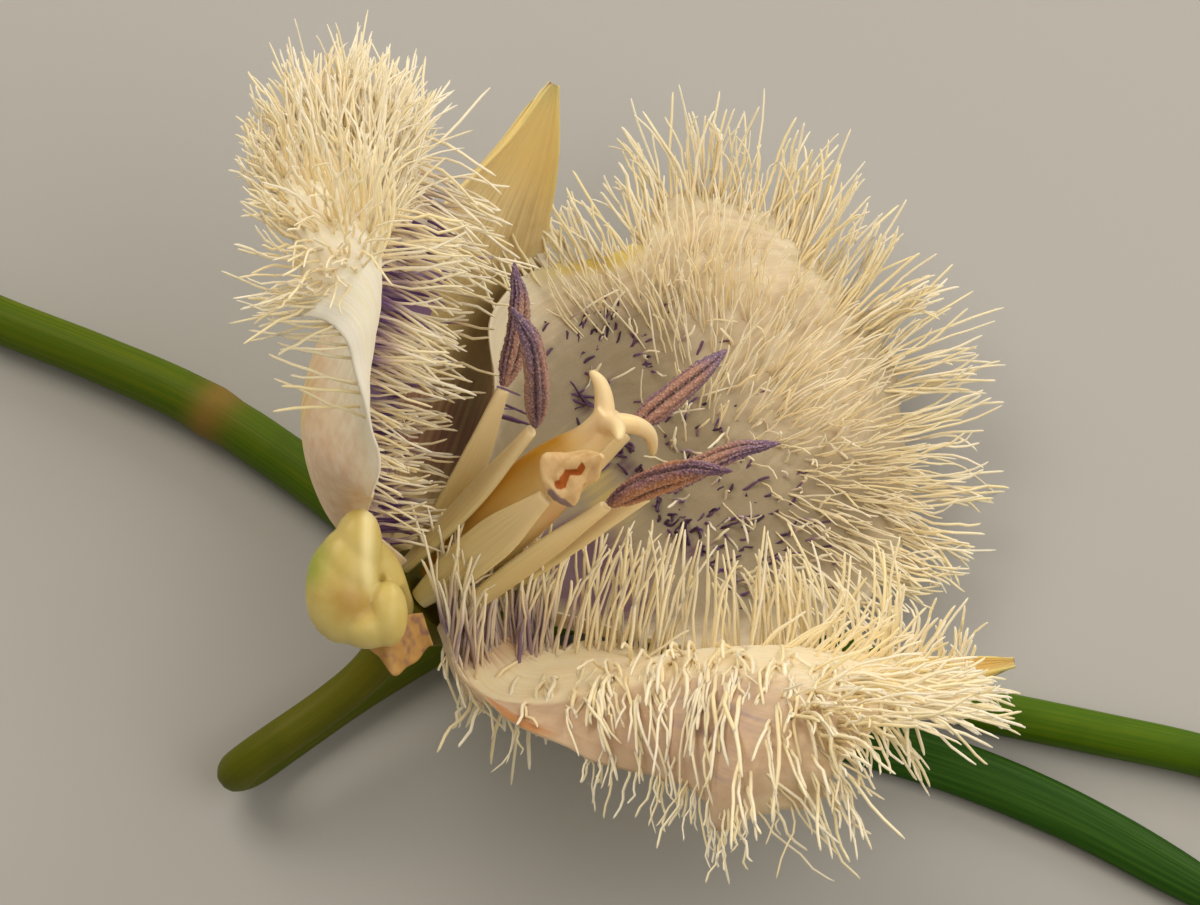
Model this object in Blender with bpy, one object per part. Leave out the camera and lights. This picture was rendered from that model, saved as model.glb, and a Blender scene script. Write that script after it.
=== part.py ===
# Cat's ear flower: one picked sprig lying on a bench, in metres, +Z up, bench at z = 0.
# The stem, its branch, the bract and the bend of the flower's stalk lie on the bench, and the
# flower leans over them.
import math

import bpy
import numpy as np
from mathutils import Matrix

MM = 0.001

# The point of the bench under the flower's base, with the middle of the sprig's box at the origin
SPRIG_SHIFT = (-5.2 * MM, -2.1 * MM)

# The flower's base above the bench, and how the flower's axis is turned there
BASE_HEIGHT = 6.9 * MM
LEAN = math.radians(51.8)
HEADING = math.radians(26.3)
SPIN = math.radians(23.7)

# Petals and sepals
PETAL_THICKNESS = 0.32 * MM
SEPAL_THICKNESS = 0.40 * MM
PETAL_ROWS, PETAL_COLUMNS = 18, 16
SEPAL_ROWS, SEPAL_COLUMNS = 14, 8

# Each blade: its turn about the flower's axis, its midrib as (out, up) in mm, its half widths
# from claw to tip in mm, and how each side turns up (+) or rolls back (-), in degrees, first near
# the midrib (cup) and then towards the margin (roll), from claw to tip. A tilt lifts the high side
# and drops the low side by that many degrees.
PETALS = {
    "petal_back": dict(
        turn=-6,
        midrib=[(1.9, 0.2), (4.6, 0.2), (7.6, 1.6), (9.9, 4.4), (11.4, 7.4), (12.8, 9.8), (14.6, 11.8)],
        low_widths=[2.4, 5.6, 7.9, 9.0, 9.0, 8.3, 6.6, 2.6],
        high_widths=[1.3, 3.4, 5.5, 7.3, 7.2, 6.0, 6.6, 3.8],
        low_cup=[60, 60, 55, 50, 35, 20, 10],
        low_roll=[0, 0, 0, -10, -20, -30, -30],
        high_cup=[70, 75, 60, 40, 30, 20, 10],
        high_roll=[0, 0, 0, -10, -20, -30, -30],
    ),
    "petal_left": dict(
        turn=120,
        midrib=[
            (1.9, 0.2), (4.6, 0.4), (7.7, 2.6), (8.9, 5.6),
            (10.0, 8.3), (12.0, 9.8), (14.0, 9.7), (15.2, 8.4),
        ],
        low_widths=[1.6, 6.8, 9.8, 10.0, 8.6, 7.0, 5.4, 1.0],
        high_widths=[1.3, 1.9, 3.8, 5.2, 5.2, 5.1, 5.3, 1.2],
        low_cup=[45, 52, 58, 50, 35, 20, 10],
        low_roll=[0, 0, 0, -10, -20, -30, -30],
        high_cup=[80, 90, 60, 40, 20, 0, 0],
        high_roll=[0, 0, 0, -20, -70, -90, -60],
    ),
    "petal_front": dict(
        turn=-120,
        midrib=[
            (1.9, 0.2), (4.3, 0.5), (5.9, 2.6), (7.0, 5.6),
            (8.6, 8.7), (10.6, 11.3), (12.7, 13.3), (14.6, 14.4),
        ],
        tilt=[5, 22, 30, 26, 16, 6, 0],
        low_widths=[1.3, 1.8, 3.2, 4.6, 5.7, 7.1, 8.8, 6.2],
        high_widths=[2.0, 4.0, 5.3, 6.4, 7.1, 6.8, 5.4, 1.2],
        low_cup=[60, 50, 15, 0, 0, -25, -45],
        low_roll=[0, 0, -45, -85, -105, -95, -75],
        high_cup=[60, 30, -20, -35, -15, 10, 30],
        high_roll=[0, -10, -10, -5, -5, -20, -30],
    ),
}
SEPALS = {
    "sepal_top": dict(
        turn=50,
        midrib=[(2.0, -0.5), (5.6, -0.4), (8.9, 2.3), (10.9, 5.6), (12.2, 8.5), (13.5, 10.8)],
        low_widths=[1.0, 3.9, 5.2, 4.6, 2.4, 0.15],
        high_widths=[1.0, 2.2, 2.6, 2.2, 1.3, 0.15],
        low_cup=[20, 0, -15, -10, 10, 40],
        low_roll=[0, 0, 0, 0, 0, 0],
        high_cup=[20, 10, 5, 10, 30, 40],
        high_roll=[0, 0, 0, 0, 0, 0],
    ),
    "sepal_right": dict(
        turn=-60,
        midrib=[(2.0, -0.5), (6.0, -0.2), (9.6, 2.1), (12.4, 5.3), (14.5, 8.4), (16.0, 10.9)],
        low_widths=[1.0, 2.1, 2.5, 2.2, 1.2, 0.15],
        high_widths=[1.0, 1.9, 2.3, 2.1, 1.2, 0.15],
        low_cup=[20, 30, 40, 40, 50, 60],
        low_roll=[0, 0, 0, 0, 0, 0],
        high_cup=[20, 20, 20, 30, 40, 60],
        high_roll=[0, 0, 0, 0, 0, 0],
    ),
    "sepal_near": dict(
        turn=162,
        midrib=[(2.0, -0.5), (3.8, 1.0), (5.1, 1.9), (6.2, 1.3), (6.4, -0.1), (5.3, -1.1)],
        low_widths=[1.0, 1.3, 1.8, 2.1, 1.8, 0.4],
        high_widths=[1.0, 1.6, 1.8, 1.8, 1.3, 0.4],
        low_cup=[0, -30, -30, -20, -20, -20],
        low_roll=[0, 0, -20, -40, -40, -40],
        high_cup=[20, 30, 20, 0, -20, -20],
        high_roll=[0, 0, -20, -40, -40, -40],
    ),
}

# Stamens: turn about the flower's axis, then the foot and the tip of the anther as (out, up) in
# mm, and the anther's half width. The last is the withered one.
FILAMENT_FOOT = (1.35, 0.25)
FILAMENT_WIDTHS = [0.5, 0.62, 0.66, 0.56, 0.38, 0.22]
FILAMENT_THICKNESS = 0.17
STAMENS = [
    dict(turn=60, foot=(4.17, 5.66), tip=(7.31, 8.17), half_width=0.5),
    dict(turn=120, foot=(2.36, 7.07), tip=(5.93, 10.07), half_width=0.68),
    dict(turn=0, foot=(3.3, 7.6), tip=(6.5, 10.64), half_width=0.46),
    dict(turn=-120, foot=(1.7, 7.33), tip=(3.25, 11.84), half_width=0.64),
    dict(turn=-60, foot=(2.27, 7.76), tip=(3.76, 12.05), half_width=0.5),
    dict(turn=180, foot=(2.0, 6.43), tip=(2.4, 8.9), half_width=0.8),
]
ANTHER_OUTLINE = [0.35, 0.8, 0.98, 1.0, 0.95, 0.82, 0.6, 0.3, 0.08]
ANTHER_FLATNESS = 0.62

# Pistil, in mm up the flower's axis: (height, radius) from foot to stigma, and the three horns
OVARY = [(0.3, 0.6), (1.2, 0.72), (2.6, 0.84), (4.2, 0.95), (5.8, 0.92), (7.0, 0.7), (8.0, 0.45), (8.9, 0.5)]
OVARY_WINGS = 0.3
STYLE_LEAN = 0.075
HORNS = [
    dict(turn=85, path=[(0.0, 8.5), (0.6, 9.0), (1.15, 9.25), (1.6, 9.2)]),
    dict(turn=-45, path=[(0.0, 8.5), (0.8, 9.0), (1.7, 8.95), (2.5, 8.3)]),
    dict(turn=205, path=[(0.0, 8.5), (0.5, 8.95), (1.1, 9.2), (1.6, 9.2)]),
]
HORN_RADII = [0.4, 0.36, 0.28, 0.12]

# The stem and its branches: (x, y, height, radius) in mm of the middle line, measured from the
# point of the bench under the flower's base
STEM = [
    (-17.3, 13.7, 0.80, 0.78), (-14.9, 12.5, 0.80, 0.79), (-11.4, 11.0, 0.82, 0.81),
    (-8.0, 9.3, 0.86, 0.86), (-4.6, 6.9, 0.86, 0.86), (-2.2, 4.9, 0.88, 0.88),
    (-0.2, 3.2, 0.90, 0.90), (1.0, 2.1, 1.05, 1.05), (1.8, 1.4, 1.10, 1.05), (2.2, 1.05, 1.05, 0.8),
]
BRANCH = [
    (3.3, 1.55, 0.74, 0.60), (5.5, 1.75, 0.74, 0.72), (9.5, 1.35, 0.74, 0.72), (13.4, 0.2, 0.74, 0.72),
    (17.4, -1.45, 0.74, 0.72), (21.3, -2.4, 0.74, 0.72), (25.2, -3.3, 0.73, 0.71), (27.8, -4.3, 0.73, 0.70),
]
PEDICEL = [
    (0.04, 0.02, 6.93, 1.60), (-0.3, -0.15, 6.63, 1.70), (-0.72, -0.38, 6.22, 1.55),
    (-1.1, -0.74, 5.5, 1.0), (-1.5, -1.2, 4.7, 0.70), (-2.3, -1.9, 4.05, 0.63),
    (-3.6, -2.8, 3.5, 0.63), (-5.1, -3.75, 3.1, 0.63), (-6.1, -4.25, 2.45, 0.63),
    (-6.4, -4.25, 1.65, 0.63), (-5.85, -3.7, 0.92, 0.63), (-4.7, -2.7, 0.64, 0.63),
    (-2.6, -1.1, 0.64, 0.63), (-0.6, 0.25, 0.66, 0.64), (0.35, 0.85, 0.72, 0.66),
]
BRACT = [
    (2.6, 0.1, 0.5), (5.5, -0.7, 0.5), (9.5, -1.5, 0.5), (13.4, -2.45, 0.5), (17.3, -3.7, 0.5),
    (21.2, -5.5, 0.5), (25.0, -7.8, 0.5), (28.0, -9.8, 0.5),
]
BRACT_HALF_WIDTHS = [0.5, 0.8, 0.9, 0.93, 0.93, 0.88, 0.72, 0.08]
BRACT_HALF_THICKNESS = 0.45


def clear_scene():
    for thing in list(bpy.data.objects):
        bpy.data.objects.remove(thing, do_unlink=True)


def material(name, colour, roughness, metallic=0.0):
    made = bpy.data.materials.new(name)
    made.use_nodes = True
    shader = made.node_tree.nodes["Principled BSDF"]
    shader.inputs["Base Color"].default_value = (*colour, 1.0)
    shader.inputs["Roughness"].default_value = roughness
    shader.inputs["Metallic"].default_value = metallic
    return made


def smooth(points, t):
    """A Catmull-Rom curve through points, evenly parted, at t from 0 to 1."""
    points = np.asarray(points, float)
    padded = np.concatenate([[2 * points[0] - points[1]], points, [2 * points[-1] - points[-2]]])
    place = np.clip(np.asarray(t, float), 0, 1) * (len(points) - 1)
    first = np.minimum(place.astype(int), len(points) - 2)
    f = place - first
    if points.ndim > 1:
        f = f[:, None]
    a, b, c, d = (padded[first + k] for k in range(4))
    return 0.5 * (2 * b + (c - a) * f + (2 * a - 5 * b + 4 * c - d) * f**2 + (3 * b - a - 3 * c + d) * f**3)


def blade_surface(shape, rows, columns):
    """Points of a petal or sepal, rows x columns, in mm about the flower's axis."""
    t = np.linspace(0, 1, rows)
    along = 0.45 * t + 0.55 * np.sin(t * math.pi / 2)
    fine = smooth(shape["midrib"], np.linspace(0, 1, 400))
    length = np.concatenate([[0], np.cumsum(np.linalg.norm(np.diff(fine, axis=0), axis=1))])
    at = along * length[-1]
    rib = np.stack([np.interp(at, length, fine[:, k]) for k in (0, 1)], axis=1)
    slope = np.gradient(fine, length, axis=0)
    tangent = np.stack([np.interp(at, length, slope[:, k]) for k in (0, 1)], axis=1)
    tangent /= np.linalg.norm(tangent, axis=1)[:, None]
    across = np.linspace(-1, 1, columns)
    steps = np.linspace(0, 1, 41)
    grid = np.zeros((rows, columns, 3))
    for row in range(rows):
        for side, end in ((-1, "low"), (1, "high")):
            here = along[row : row + 1]
            width = smooth(shape[end + "_widths"], here)[0]
            cup = smooth(shape[end + "_cup"], here)[0]
            roll = smooth(shape[end + "_roll"], here)[0]
            tilt = side * smooth(shape.get("tilt", [0, 0]), here)[0]
            angle = np.radians(tilt + cup * steps + roll * steps**2)
            ahead = np.concatenate([[0], np.cumsum((np.cos(angle)[1:] + np.cos(angle)[:-1]) / 2)])
            up = np.concatenate([[0], np.cumsum((np.sin(angle)[1:] + np.sin(angle)[:-1]) / 2)])
            ahead, up = ahead * steps[1] * width, up * steps[1] * width
            mine = np.flatnonzero(across * side >= 0)
            reach = np.interp(abs(across[mine]), steps, ahead)
            rise = np.interp(abs(across[mine]), steps, up)
            grid[row, mine, 0] = rib[row, 0] - tangent[row, 1] * rise
            grid[row, mine, 1] = side * reach
            grid[row, mine, 2] = rib[row, 1] + tangent[row, 0] * rise
    return grid


def object_of(name, points, faces, look, parent):
    mesh = bpy.data.meshes.new(name)
    mesh.from_pydata([tuple(p) for p in points], [], faces)
    mesh.update()
    mesh.shade_smooth()
    mesh.set_sharp_from_angle(angle=math.radians(40))
    made = bpy.data.objects.new(name, mesh)
    made.data.materials.append(look)
    made.parent = parent
    bpy.context.scene.collection.objects.link(made)
    return made


def blade(name, shape, rows, columns, thickness, look, flower):
    """A petal or sepal: a curved sheet, thickened away from the flower's axis."""
    inner = blade_surface(shape, rows, columns)
    faces = []
    for i in range(rows - 1):
        for j in range(columns - 1):
            corner = i * columns + j
            faces.append((corner, corner + columns, corner + columns + 1, corner + 1))
    made = object_of(name, inner.reshape(-1, 3) * MM, faces, look, flower)
    made.rotation_euler[2] = math.radians(shape["turn"])
    wall = made.modifiers.new("thickness", "SOLIDIFY")
    wall.thickness = thickness
    wall.offset = -1
    return made


def loft(name, middles, widths, heights, side, sides, look, parent, wave=0.0):
    """A closed body of rings along middles, each with its half width towards side and half height.

    wave gives the rings three ribs of that share of their size."""
    middles = np.asarray(middles, float)
    tangent = np.gradient(middles, axis=0)
    tangent /= np.linalg.norm(tangent, axis=1)[:, None]
    across = side - tangent * (tangent @ side)[:, None]
    across /= np.linalg.norm(across, axis=1)[:, None]
    up = np.cross(tangent, across)
    turn = np.linspace(0, 2 * math.pi, sides, endpoint=False)
    ribs = 1 + wave * np.cos(3 * turn)
    points = []
    for k in range(len(middles)):
        for a, rib in zip(turn, ribs):
            points.append(
                middles[k] + across[k] * widths[k] * math.cos(a) * rib + up[k] * heights[k] * math.sin(a) * rib
            )
    faces = [tuple(range(sides))[::-1]]
    for k in range(len(middles) - 1):
        for a in range(sides):
            b = (a + 1) % sides
            faces.append((k * sides + a, k * sides + b, (k + 1) * sides + b, (k + 1) * sides + a))
    faces.append(tuple((len(middles) - 1) * sides + a for a in range(sides)))
    return object_of(name, np.array(points) * MM, faces, look, parent)


def stalk(name, stations, count, look, parent):
    """A round stalk: a curve through stations of (x, y, height, radius)."""
    read = smooth(stations, np.linspace(0, 1, count)) * MM
    curve = bpy.data.curves.new(name, "CURVE")
    curve.dimensions = "3D"
    curve.bevel_depth = 1.0
    curve.bevel_resolution = 3
    curve.use_fill_caps = True
    line = curve.splines.new("POLY")
    line.points.add(count - 1)
    for point, (x, y, z, radius) in zip(line.points, read):
        point.co = (x, y, z, 1)
        point.radius = radius
    made = bpy.data.objects.new(name, curve)
    made.data.materials.append(look)
    made.parent = parent
    bpy.context.scene.collection.objects.link(made)
    return made


def about_axis(turn, points):
    """(out, up) points turned about the flower's axis."""
    points = np.asarray(points, float)
    a = math.radians(turn)
    return np.stack([points[:, 0] * math.cos(a), points[:, 0] * math.sin(a), points[:, 1]], axis=1)


def stamen(number, shape, filament_look, anther_look, flower):
    foot, tip = np.array(shape["foot"]), np.array(shape["tip"])
    start = np.array(FILAMENT_FOOT)
    middle = start + (foot - start) * [0.42, 0.55]
    gap = (tip - foot) / np.linalg.norm(tip - foot) * 0.1
    path = smooth([start, middle, foot - gap], np.linspace(0, 1, 7))
    widths = smooth(FILAMENT_WIDTHS, np.linspace(0, 1, 7))
    side = np.array([-math.sin(math.radians(shape["turn"])), math.cos(math.radians(shape["turn"])), 0])
    loft(
        f"filament_{number}", about_axis(shape["turn"], path), widths, widths * 0 + FILAMENT_THICKNESS,
        side, 8, filament_look, flower,
    )
    along = np.linspace(0, 1, len(ANTHER_OUTLINE))
    bow = np.array([-(tip - foot)[1], (tip - foot)[0]]) * 0.05
    body = foot + (tip - foot) * along[:, None] + bow * np.sin(math.pi * along)[:, None]
    wide = np.array(ANTHER_OUTLINE) * shape["half_width"]
    loft(
        f"anther_{number}", about_axis(shape["turn"], body), wide, wide * ANTHER_FLATNESS,
        side, 10, anther_look, flower,
    )


def pistil(look, flower):
    """Three-winged ovary and style, with three recurved horns joined to the top."""
    heights, radii = np.array(OVARY).T
    read = np.linspace(0, 1, 12)
    up, wide = smooth(heights, read), smooth(radii, read)
    lean = STYLE_LEAN * np.maximum(up - 1.0, 0)
    middles = np.stack([lean * 0, lean, up], axis=1)
    body = loft("pistil", middles, wide, wide, np.array([1.0, 0, 0]), 18, look, flower, OVARY_WINGS)
    for number, horn in enumerate(HORNS):
        path = about_axis(horn["turn"], smooth(horn["path"], np.linspace(0, 1, 6)))
        path[:, 1] += STYLE_LEAN * 7.9
        thick = smooth(HORN_RADII, np.linspace(0, 1, 6))
        side = np.array([-math.sin(math.radians(horn["turn"])), math.cos(math.radians(horn["turn"])), 0])
        cutter = loft(f"horn_{number}", path, thick, thick, side, 8, look, flower)
        cutter.hide_render = True
        cutter.display_type = "WIRE"
        join = body.modifiers.new(cutter.name, "BOOLEAN")
        join.operation = "UNION"
        join.object = cutter


def main():
    clear_scene()
    sprig = bpy.data.objects.new("sprig", None)
    sprig.location = (*SPRIG_SHIFT, 0)
    bpy.context.scene.collection.objects.link(sprig)
    flower = bpy.data.objects.new("flower", None)
    flower.parent = sprig
    turned = Matrix.Rotation(HEADING, 4, "Z") @ Matrix.Rotation(LEAN, 4, "Y") @ Matrix.Rotation(SPIN, 4, "Z")
    flower.matrix_local = Matrix.Translation((0, 0, BASE_HEIGHT)) @ turned
    bpy.context.scene.collection.objects.link(flower)
    cream = material("petal", (0.78, 0.70, 0.56), 0.6)
    tan = material("sepal", (0.72, 0.62, 0.36), 0.55)
    for name, shape in PETALS.items():
        blade(name, shape, PETAL_ROWS, PETAL_COLUMNS, PETAL_THICKNESS, cream, flower)
    for name, shape in SEPALS.items():
        blade(name, shape, SEPAL_ROWS, SEPAL_COLUMNS, SEPAL_THICKNESS, tan, flower)
    filament_look = material("filament", (0.85, 0.78, 0.55), 0.5)
    anther_look = material("anther", (0.36, 0.24, 0.30), 0.8)
    for number, shape in enumerate(STAMENS, 1):
        stamen(number, shape, filament_look, anther_look, flower)
    pistil(material("pistil", (0.85, 0.72, 0.38), 0.45), flower)
    green = material("stem", (0.16, 0.30, 0.03), 0.45)
    stalk("stem", STEM, 26, green, sprig)
    stalk("branch", BRANCH, 22, green, sprig)
    stalk("pedicel", PEDICEL, 36, material("pedicel", (0.30, 0.30, 0.04), 0.45), sprig)
    read = np.linspace(0, 1, 22)
    wide = smooth(BRACT_HALF_WIDTHS, read)
    loft(
        "bract", smooth(BRACT, read), wide, np.minimum(wide, BRACT_HALF_THICKNESS),
        np.array([0.0, 1.0, 0.0]), 10, material("bract", (0.10, 0.24, 0.06), 0.5), sprig,
    )


main()
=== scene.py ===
import math

import bpy
import numpy as np
from mathutils import Matrix, Vector


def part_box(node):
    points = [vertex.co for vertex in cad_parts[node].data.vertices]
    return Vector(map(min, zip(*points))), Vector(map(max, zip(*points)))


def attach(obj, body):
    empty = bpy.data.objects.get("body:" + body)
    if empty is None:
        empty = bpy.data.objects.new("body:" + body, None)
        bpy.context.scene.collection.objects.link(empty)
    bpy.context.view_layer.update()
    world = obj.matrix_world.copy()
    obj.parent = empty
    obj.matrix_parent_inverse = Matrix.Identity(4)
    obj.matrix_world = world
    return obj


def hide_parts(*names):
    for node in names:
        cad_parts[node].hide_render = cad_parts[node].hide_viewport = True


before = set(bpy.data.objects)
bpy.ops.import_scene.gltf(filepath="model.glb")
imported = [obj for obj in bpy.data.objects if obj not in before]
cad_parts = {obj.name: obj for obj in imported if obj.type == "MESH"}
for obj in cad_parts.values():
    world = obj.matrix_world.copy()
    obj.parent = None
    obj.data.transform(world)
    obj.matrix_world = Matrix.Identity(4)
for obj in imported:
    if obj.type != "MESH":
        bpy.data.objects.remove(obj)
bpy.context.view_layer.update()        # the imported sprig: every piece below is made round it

mm = 0.001

# How the flower's own axis stands over the bench, in degrees
flowerStance = {"heading": 26.3, "lean": 51.8, "spin": 23.7, "foot": (-5.2, -2.1, 6.9)}

# ---- camera, bench and lights

viewing = {"elevation": 66, "distance": 0.200, "lens": 186, "aim": (0.28, 1.95, 8.70)}
lamps = {
    "keySoftbox": {"place": (-0.13, 0.15, 0.24), "size": 0.20, "power": 0.52, "colour": "#fff0da"},
    "frontFill": {"place": (0.14, -0.06, 0.20), "size": 0.20, "power": 0.28, "colour": "#fff4e4"},
    "backRim": {"place": (0.16, 0.20, 0.14), "size": 0.14, "power": 0.30, "colour": "#fff6e8"},
}
surroundings = {"colour": "#f6e9d3", "strength": 0.36, "floor": "#a9abad", "floorSize": 1.2}


def linear(hexColour):
    parts = [int(hexColour[k:k + 2], 16) / 255 for k in (1, 3, 5)]
    return [c / 12.92 if c <= 0.04045 else ((c + 0.055) / 1.055) ** 2.4 for c in parts] + [1.0]


def addNode(tree, kind, values=None, links=None, **settings):
    made = tree.nodes.new("ShaderNode" + kind)
    for key, value in settings.items():
        setattr(made, key, value)
    for key, value in (values or {}).items():
        made.inputs[key].default_value = value
    for key, source in (links or {}).items():
        tree.links.new(source, made.inputs[key])
    return made


def startMaterial(name, roughness, ior=1.45, **sockets):
    made = bpy.data.materials.new(name)
    made.use_nodes = True
    shader = made.node_tree.nodes["Principled BSDF"]
    shader.inputs["Roughness"].default_value = roughness
    shader.inputs["IOR"].default_value = ior
    for key, value in sockets.items():
        shader.inputs[key].default_value = value
    return made, made.node_tree, shader


def flesh(weight, *reach):
    # how much light goes into a piece, and how far in mm its red, green and blue reach
    radius = [r * mm for r in reach]
    return {"Subsurface Weight": weight, "Subsurface Radius": radius, "Subsurface Scale": 1.0}


def channels(tree, name):
    # the three numbers that a piece keeps on its points under that name
    field = addNode(tree, "Attribute", attribute_name=name)
    return addNode(tree, "SeparateXYZ", links={"Vector": field.outputs["Vector"]})


def stainShadeOrLightOver(tree, body, colour, amount, noise, swing, low, high, most=1.0, **settings):
    # lays a stain, a painted shade or a painted light over the body colour: amount says where, and the noise
    # breaks up its edge
    rough = addNode(tree, "Math", {1: swing, 2: -swing / 2}, {0: noise}, operation="MULTIPLY_ADD")
    mixed = addNode(tree, "Math", links={0: amount, 1: rough.outputs["Value"]}, operation="ADD")
    cut = addNode(
        tree, "MapRange", {"From Min": low, "From Max": high, "To Max": most},
        {"Value": mixed.outputs["Value"]}, **settings,
    )
    return addNode(
        tree, "MixRGB", {"Color2": linear(colour)},
        {"Fac": cut.outputs["Result"], "Color1": body.outputs["Color"]},
    )


def finishLook(tree, shader, colour, height=None, strength=0.2, depth=0.02, **settings):
    # joins the last colour to the shader and, as a fine relief in mm, a height
    tree.links.new(colour, shader.inputs["Base Color"])
    if height is not None:
        relief = addNode(
            tree, "Bump", {"Strength": strength, "Distance": depth * mm}, {"Height": height}, **settings,
        )
        tree.links.new(relief.outputs["Normal"], shader.inputs["Normal"])


def aimAt(thing, target):
    away = thing.location - Vector(target)
    thing.rotation_mode = "QUATERNION"
    thing.rotation_quaternion = away.to_track_quat("Z", "Y")


def setCamera():
    tilt = math.radians(viewing["elevation"])
    aim = Vector(viewing["aim"]) * mm
    away = Vector((0, -math.cos(tilt), math.sin(tilt)))
    bpy.ops.object.camera_add(location=aim + away * viewing["distance"])
    camera = bpy.context.object
    camera.data.lens = viewing["lens"]
    camera.data.clip_start = 0.01
    aimAt(camera, aim)
    bpy.context.scene.camera = camera


def setStudio():
    for name, lamp in lamps.items():
        bpy.ops.object.light_add(type="AREA", location=lamp["place"])
        light = bpy.context.object
        light.name = name
        light.data.size = lamp["size"]
        light.data.energy = lamp["power"]
        light.data.color = linear(lamp["colour"])[:3]
        aimAt(light, (0, 0, 0.005))
    world = bpy.data.worlds.new("studioAir")
    bpy.context.scene.world = world
    world.use_nodes = True
    air = world.node_tree.nodes["Background"]
    air.inputs["Color"].default_value = linear(surroundings["colour"])
    air.inputs["Strength"].default_value = surroundings["strength"]
    bpy.ops.mesh.primitive_plane_add(size=surroundings["floorSize"])
    floor = bpy.context.object
    floor.name = "benchTop"
    look, _, shader = startMaterial("pale matt card", 0.85)
    shader.inputs["Base Color"].default_value = linear(surroundings["floor"])
    floor.data.materials.append(look)
    bpy.context.scene.view_settings.view_transform = "Standard"


bpy.ops.object.select_all(action="DESELECT")
setCamera()
setStudio()
print("camera and studio are set")

# ---- making shapes


def smooth(points, t):
    # a Catmull-Rom curve through evenly parted points
    points = np.asarray(points, float)
    padded = np.concatenate([[2 * points[0] - points[1]], points, [2 * points[-1] - points[-2]]])
    place = np.clip(np.asarray(t, float), 0, 1) * (len(points) - 1)
    first = np.minimum(place.astype(int), len(points) - 2)
    f = place - first
    if points.ndim > 1:
        f = f[:, None]
    a, b, c, d = (padded[first + k] for k in range(4))
    return 0.5 * (2 * b + (c - a) * f + (2 * a - 5 * b + 4 * c - d) * f**2 + (3 * b - a - 3 * c + d) * f**3)


def unit(vectors):
    return vectors / np.maximum(np.linalg.norm(vectors, axis=-1, keepdims=True), 1e-12)


def ease(x, low, high):
    t = np.clip((x - low) / (high - low), 0, 1)
    return t * t * (3 - 2 * t)


def readPoints(mesh):
    flat = np.empty(len(mesh.vertices) * 3, np.float32)
    mesh.vertices.foreach_get("co", flat)
    return flat.reshape(-1, 3).astype(float)


def writePoints(mesh, points):
    mesh.vertices.foreach_set("co", np.asarray(points, np.float32).ravel())
    mesh.update()


def writeField(mesh, name, values):
    field = mesh.attributes.new(name, "FLOAT_VECTOR", "POINT")
    field.data.foreach_set("vector", np.asarray(values, np.float32).ravel())


def flowerTurn():
    s = {key: math.radians(flowerStance[key]) for key in ("heading", "lean", "spin")}
    lean = Matrix.Rotation(s["heading"], 3, "Z") @ Matrix.Rotation(s["lean"], 3, "Y")
    return np.array(lean @ Matrix.Rotation(s["spin"], 3, "Z"))


stance = flowerTurn()


def aboutAxis(points, turn):
    # from a part's own (out, across, up) in mm to the bench's directions
    a = math.radians(turn)
    swing = np.array([[math.cos(a), -math.sin(a), 0], [math.sin(a), math.cos(a), 0], [0, 0, 1]])
    return points @ swing.T @ stance.T * mm


def partTurned(points, turn):
    # (out, up) points turned about the flower's axis, still in mm
    a = math.radians(turn)
    return np.stack([points[:, 0] * math.cos(a), points[:, 0] * math.sin(a), points[:, 1]], axis=1)


def sideOf(turn):
    a = math.radians(turn)
    return np.array([-math.sin(a), math.cos(a), 0])


def seatOn(points, node):
    # the step that lays points on the middle of the node's box
    low, high = (np.array(corner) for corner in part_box(node))
    return (low + high) / 2 - (points.min(axis=0) + points.max(axis=0)) / 2


def makeSheet(name, columns, rows, place, thickness, thinTo=0.4):
    # a grid laid on place(u, v), walled outwards, and thinner at its margin; the wall's outer points
    # come first, and then the grid's own, which are its inner face
    bpy.ops.object.select_all(action="DESELECT")
    bpy.ops.mesh.primitive_grid_add(x_subdivisions=columns, y_subdivisions=rows, size=2)
    piece = bpy.context.object
    piece.name = piece.data.name = name
    flat = readPoints(piece.data)
    u, v = flat[:, 0], (flat[:, 1] + 1) / 2
    writePoints(piece.data, place(u, v))
    wall = piece.modifiers.new("thickness", "SOLIDIFY")
    wall.thickness = thickness
    wall.offset = 1
    bpy.ops.object.modifier_apply(modifier=wall.name)
    points = readPoints(piece.data)
    outer, inner = points[:len(u)], points[len(u):]
    keep = 1 - (1 - thinTo) * np.maximum(ease(np.abs(u), 0.7, 1.0), ease(v, 0.85, 1.0))
    points[:len(u)] = inner + (outer - inner) * keep[:, None]
    writePoints(piece.data, points)
    sides = np.concatenate([u * 0 + 1, u * 0])
    writeField(piece.data, "lie", np.stack([np.tile(u, 2), np.tile(v, 2), sides], axis=1))
    bpy.ops.object.shade_smooth()
    return piece, np.tile(u, 2), np.tile(v, 2), sides


def makeRod(name, sides, rings, place):
    # a cylinder ringed along its length and laid on place(angle, t)
    bpy.ops.object.select_all(action="DESELECT")
    bpy.ops.mesh.primitive_cylinder_add(vertices=sides, radius=1, depth=2, end_fill_type="NGON")
    piece = bpy.context.object
    piece.name = piece.data.name = name
    bpy.ops.object.mode_set(mode="EDIT")
    bpy.ops.mesh.select_all(action="DESELECT")
    bpy.ops.object.mode_set(mode="OBJECT")
    for edge in piece.data.edges:
        low, high = (piece.data.vertices[k].co.z for k in edge.vertices)
        edge.select = abs(low - high) > 1
    bpy.ops.object.mode_set(mode="EDIT")
    bpy.ops.mesh.select_mode(type="EDGE")
    bpy.ops.mesh.subdivide(number_cuts=rings - 2)
    bpy.ops.object.mode_set(mode="OBJECT")
    flat = readPoints(piece.data)
    angle, t = np.arctan2(flat[:, 1], flat[:, 0]), (flat[:, 2] + 1) / 2
    writePoints(piece.data, place(angle, t))
    writeField(piece.data, "lie", np.stack([np.cos(angle), np.sin(angle), t], axis=1))
    bpy.ops.object.shade_smooth()
    return piece, angle, t


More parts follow.
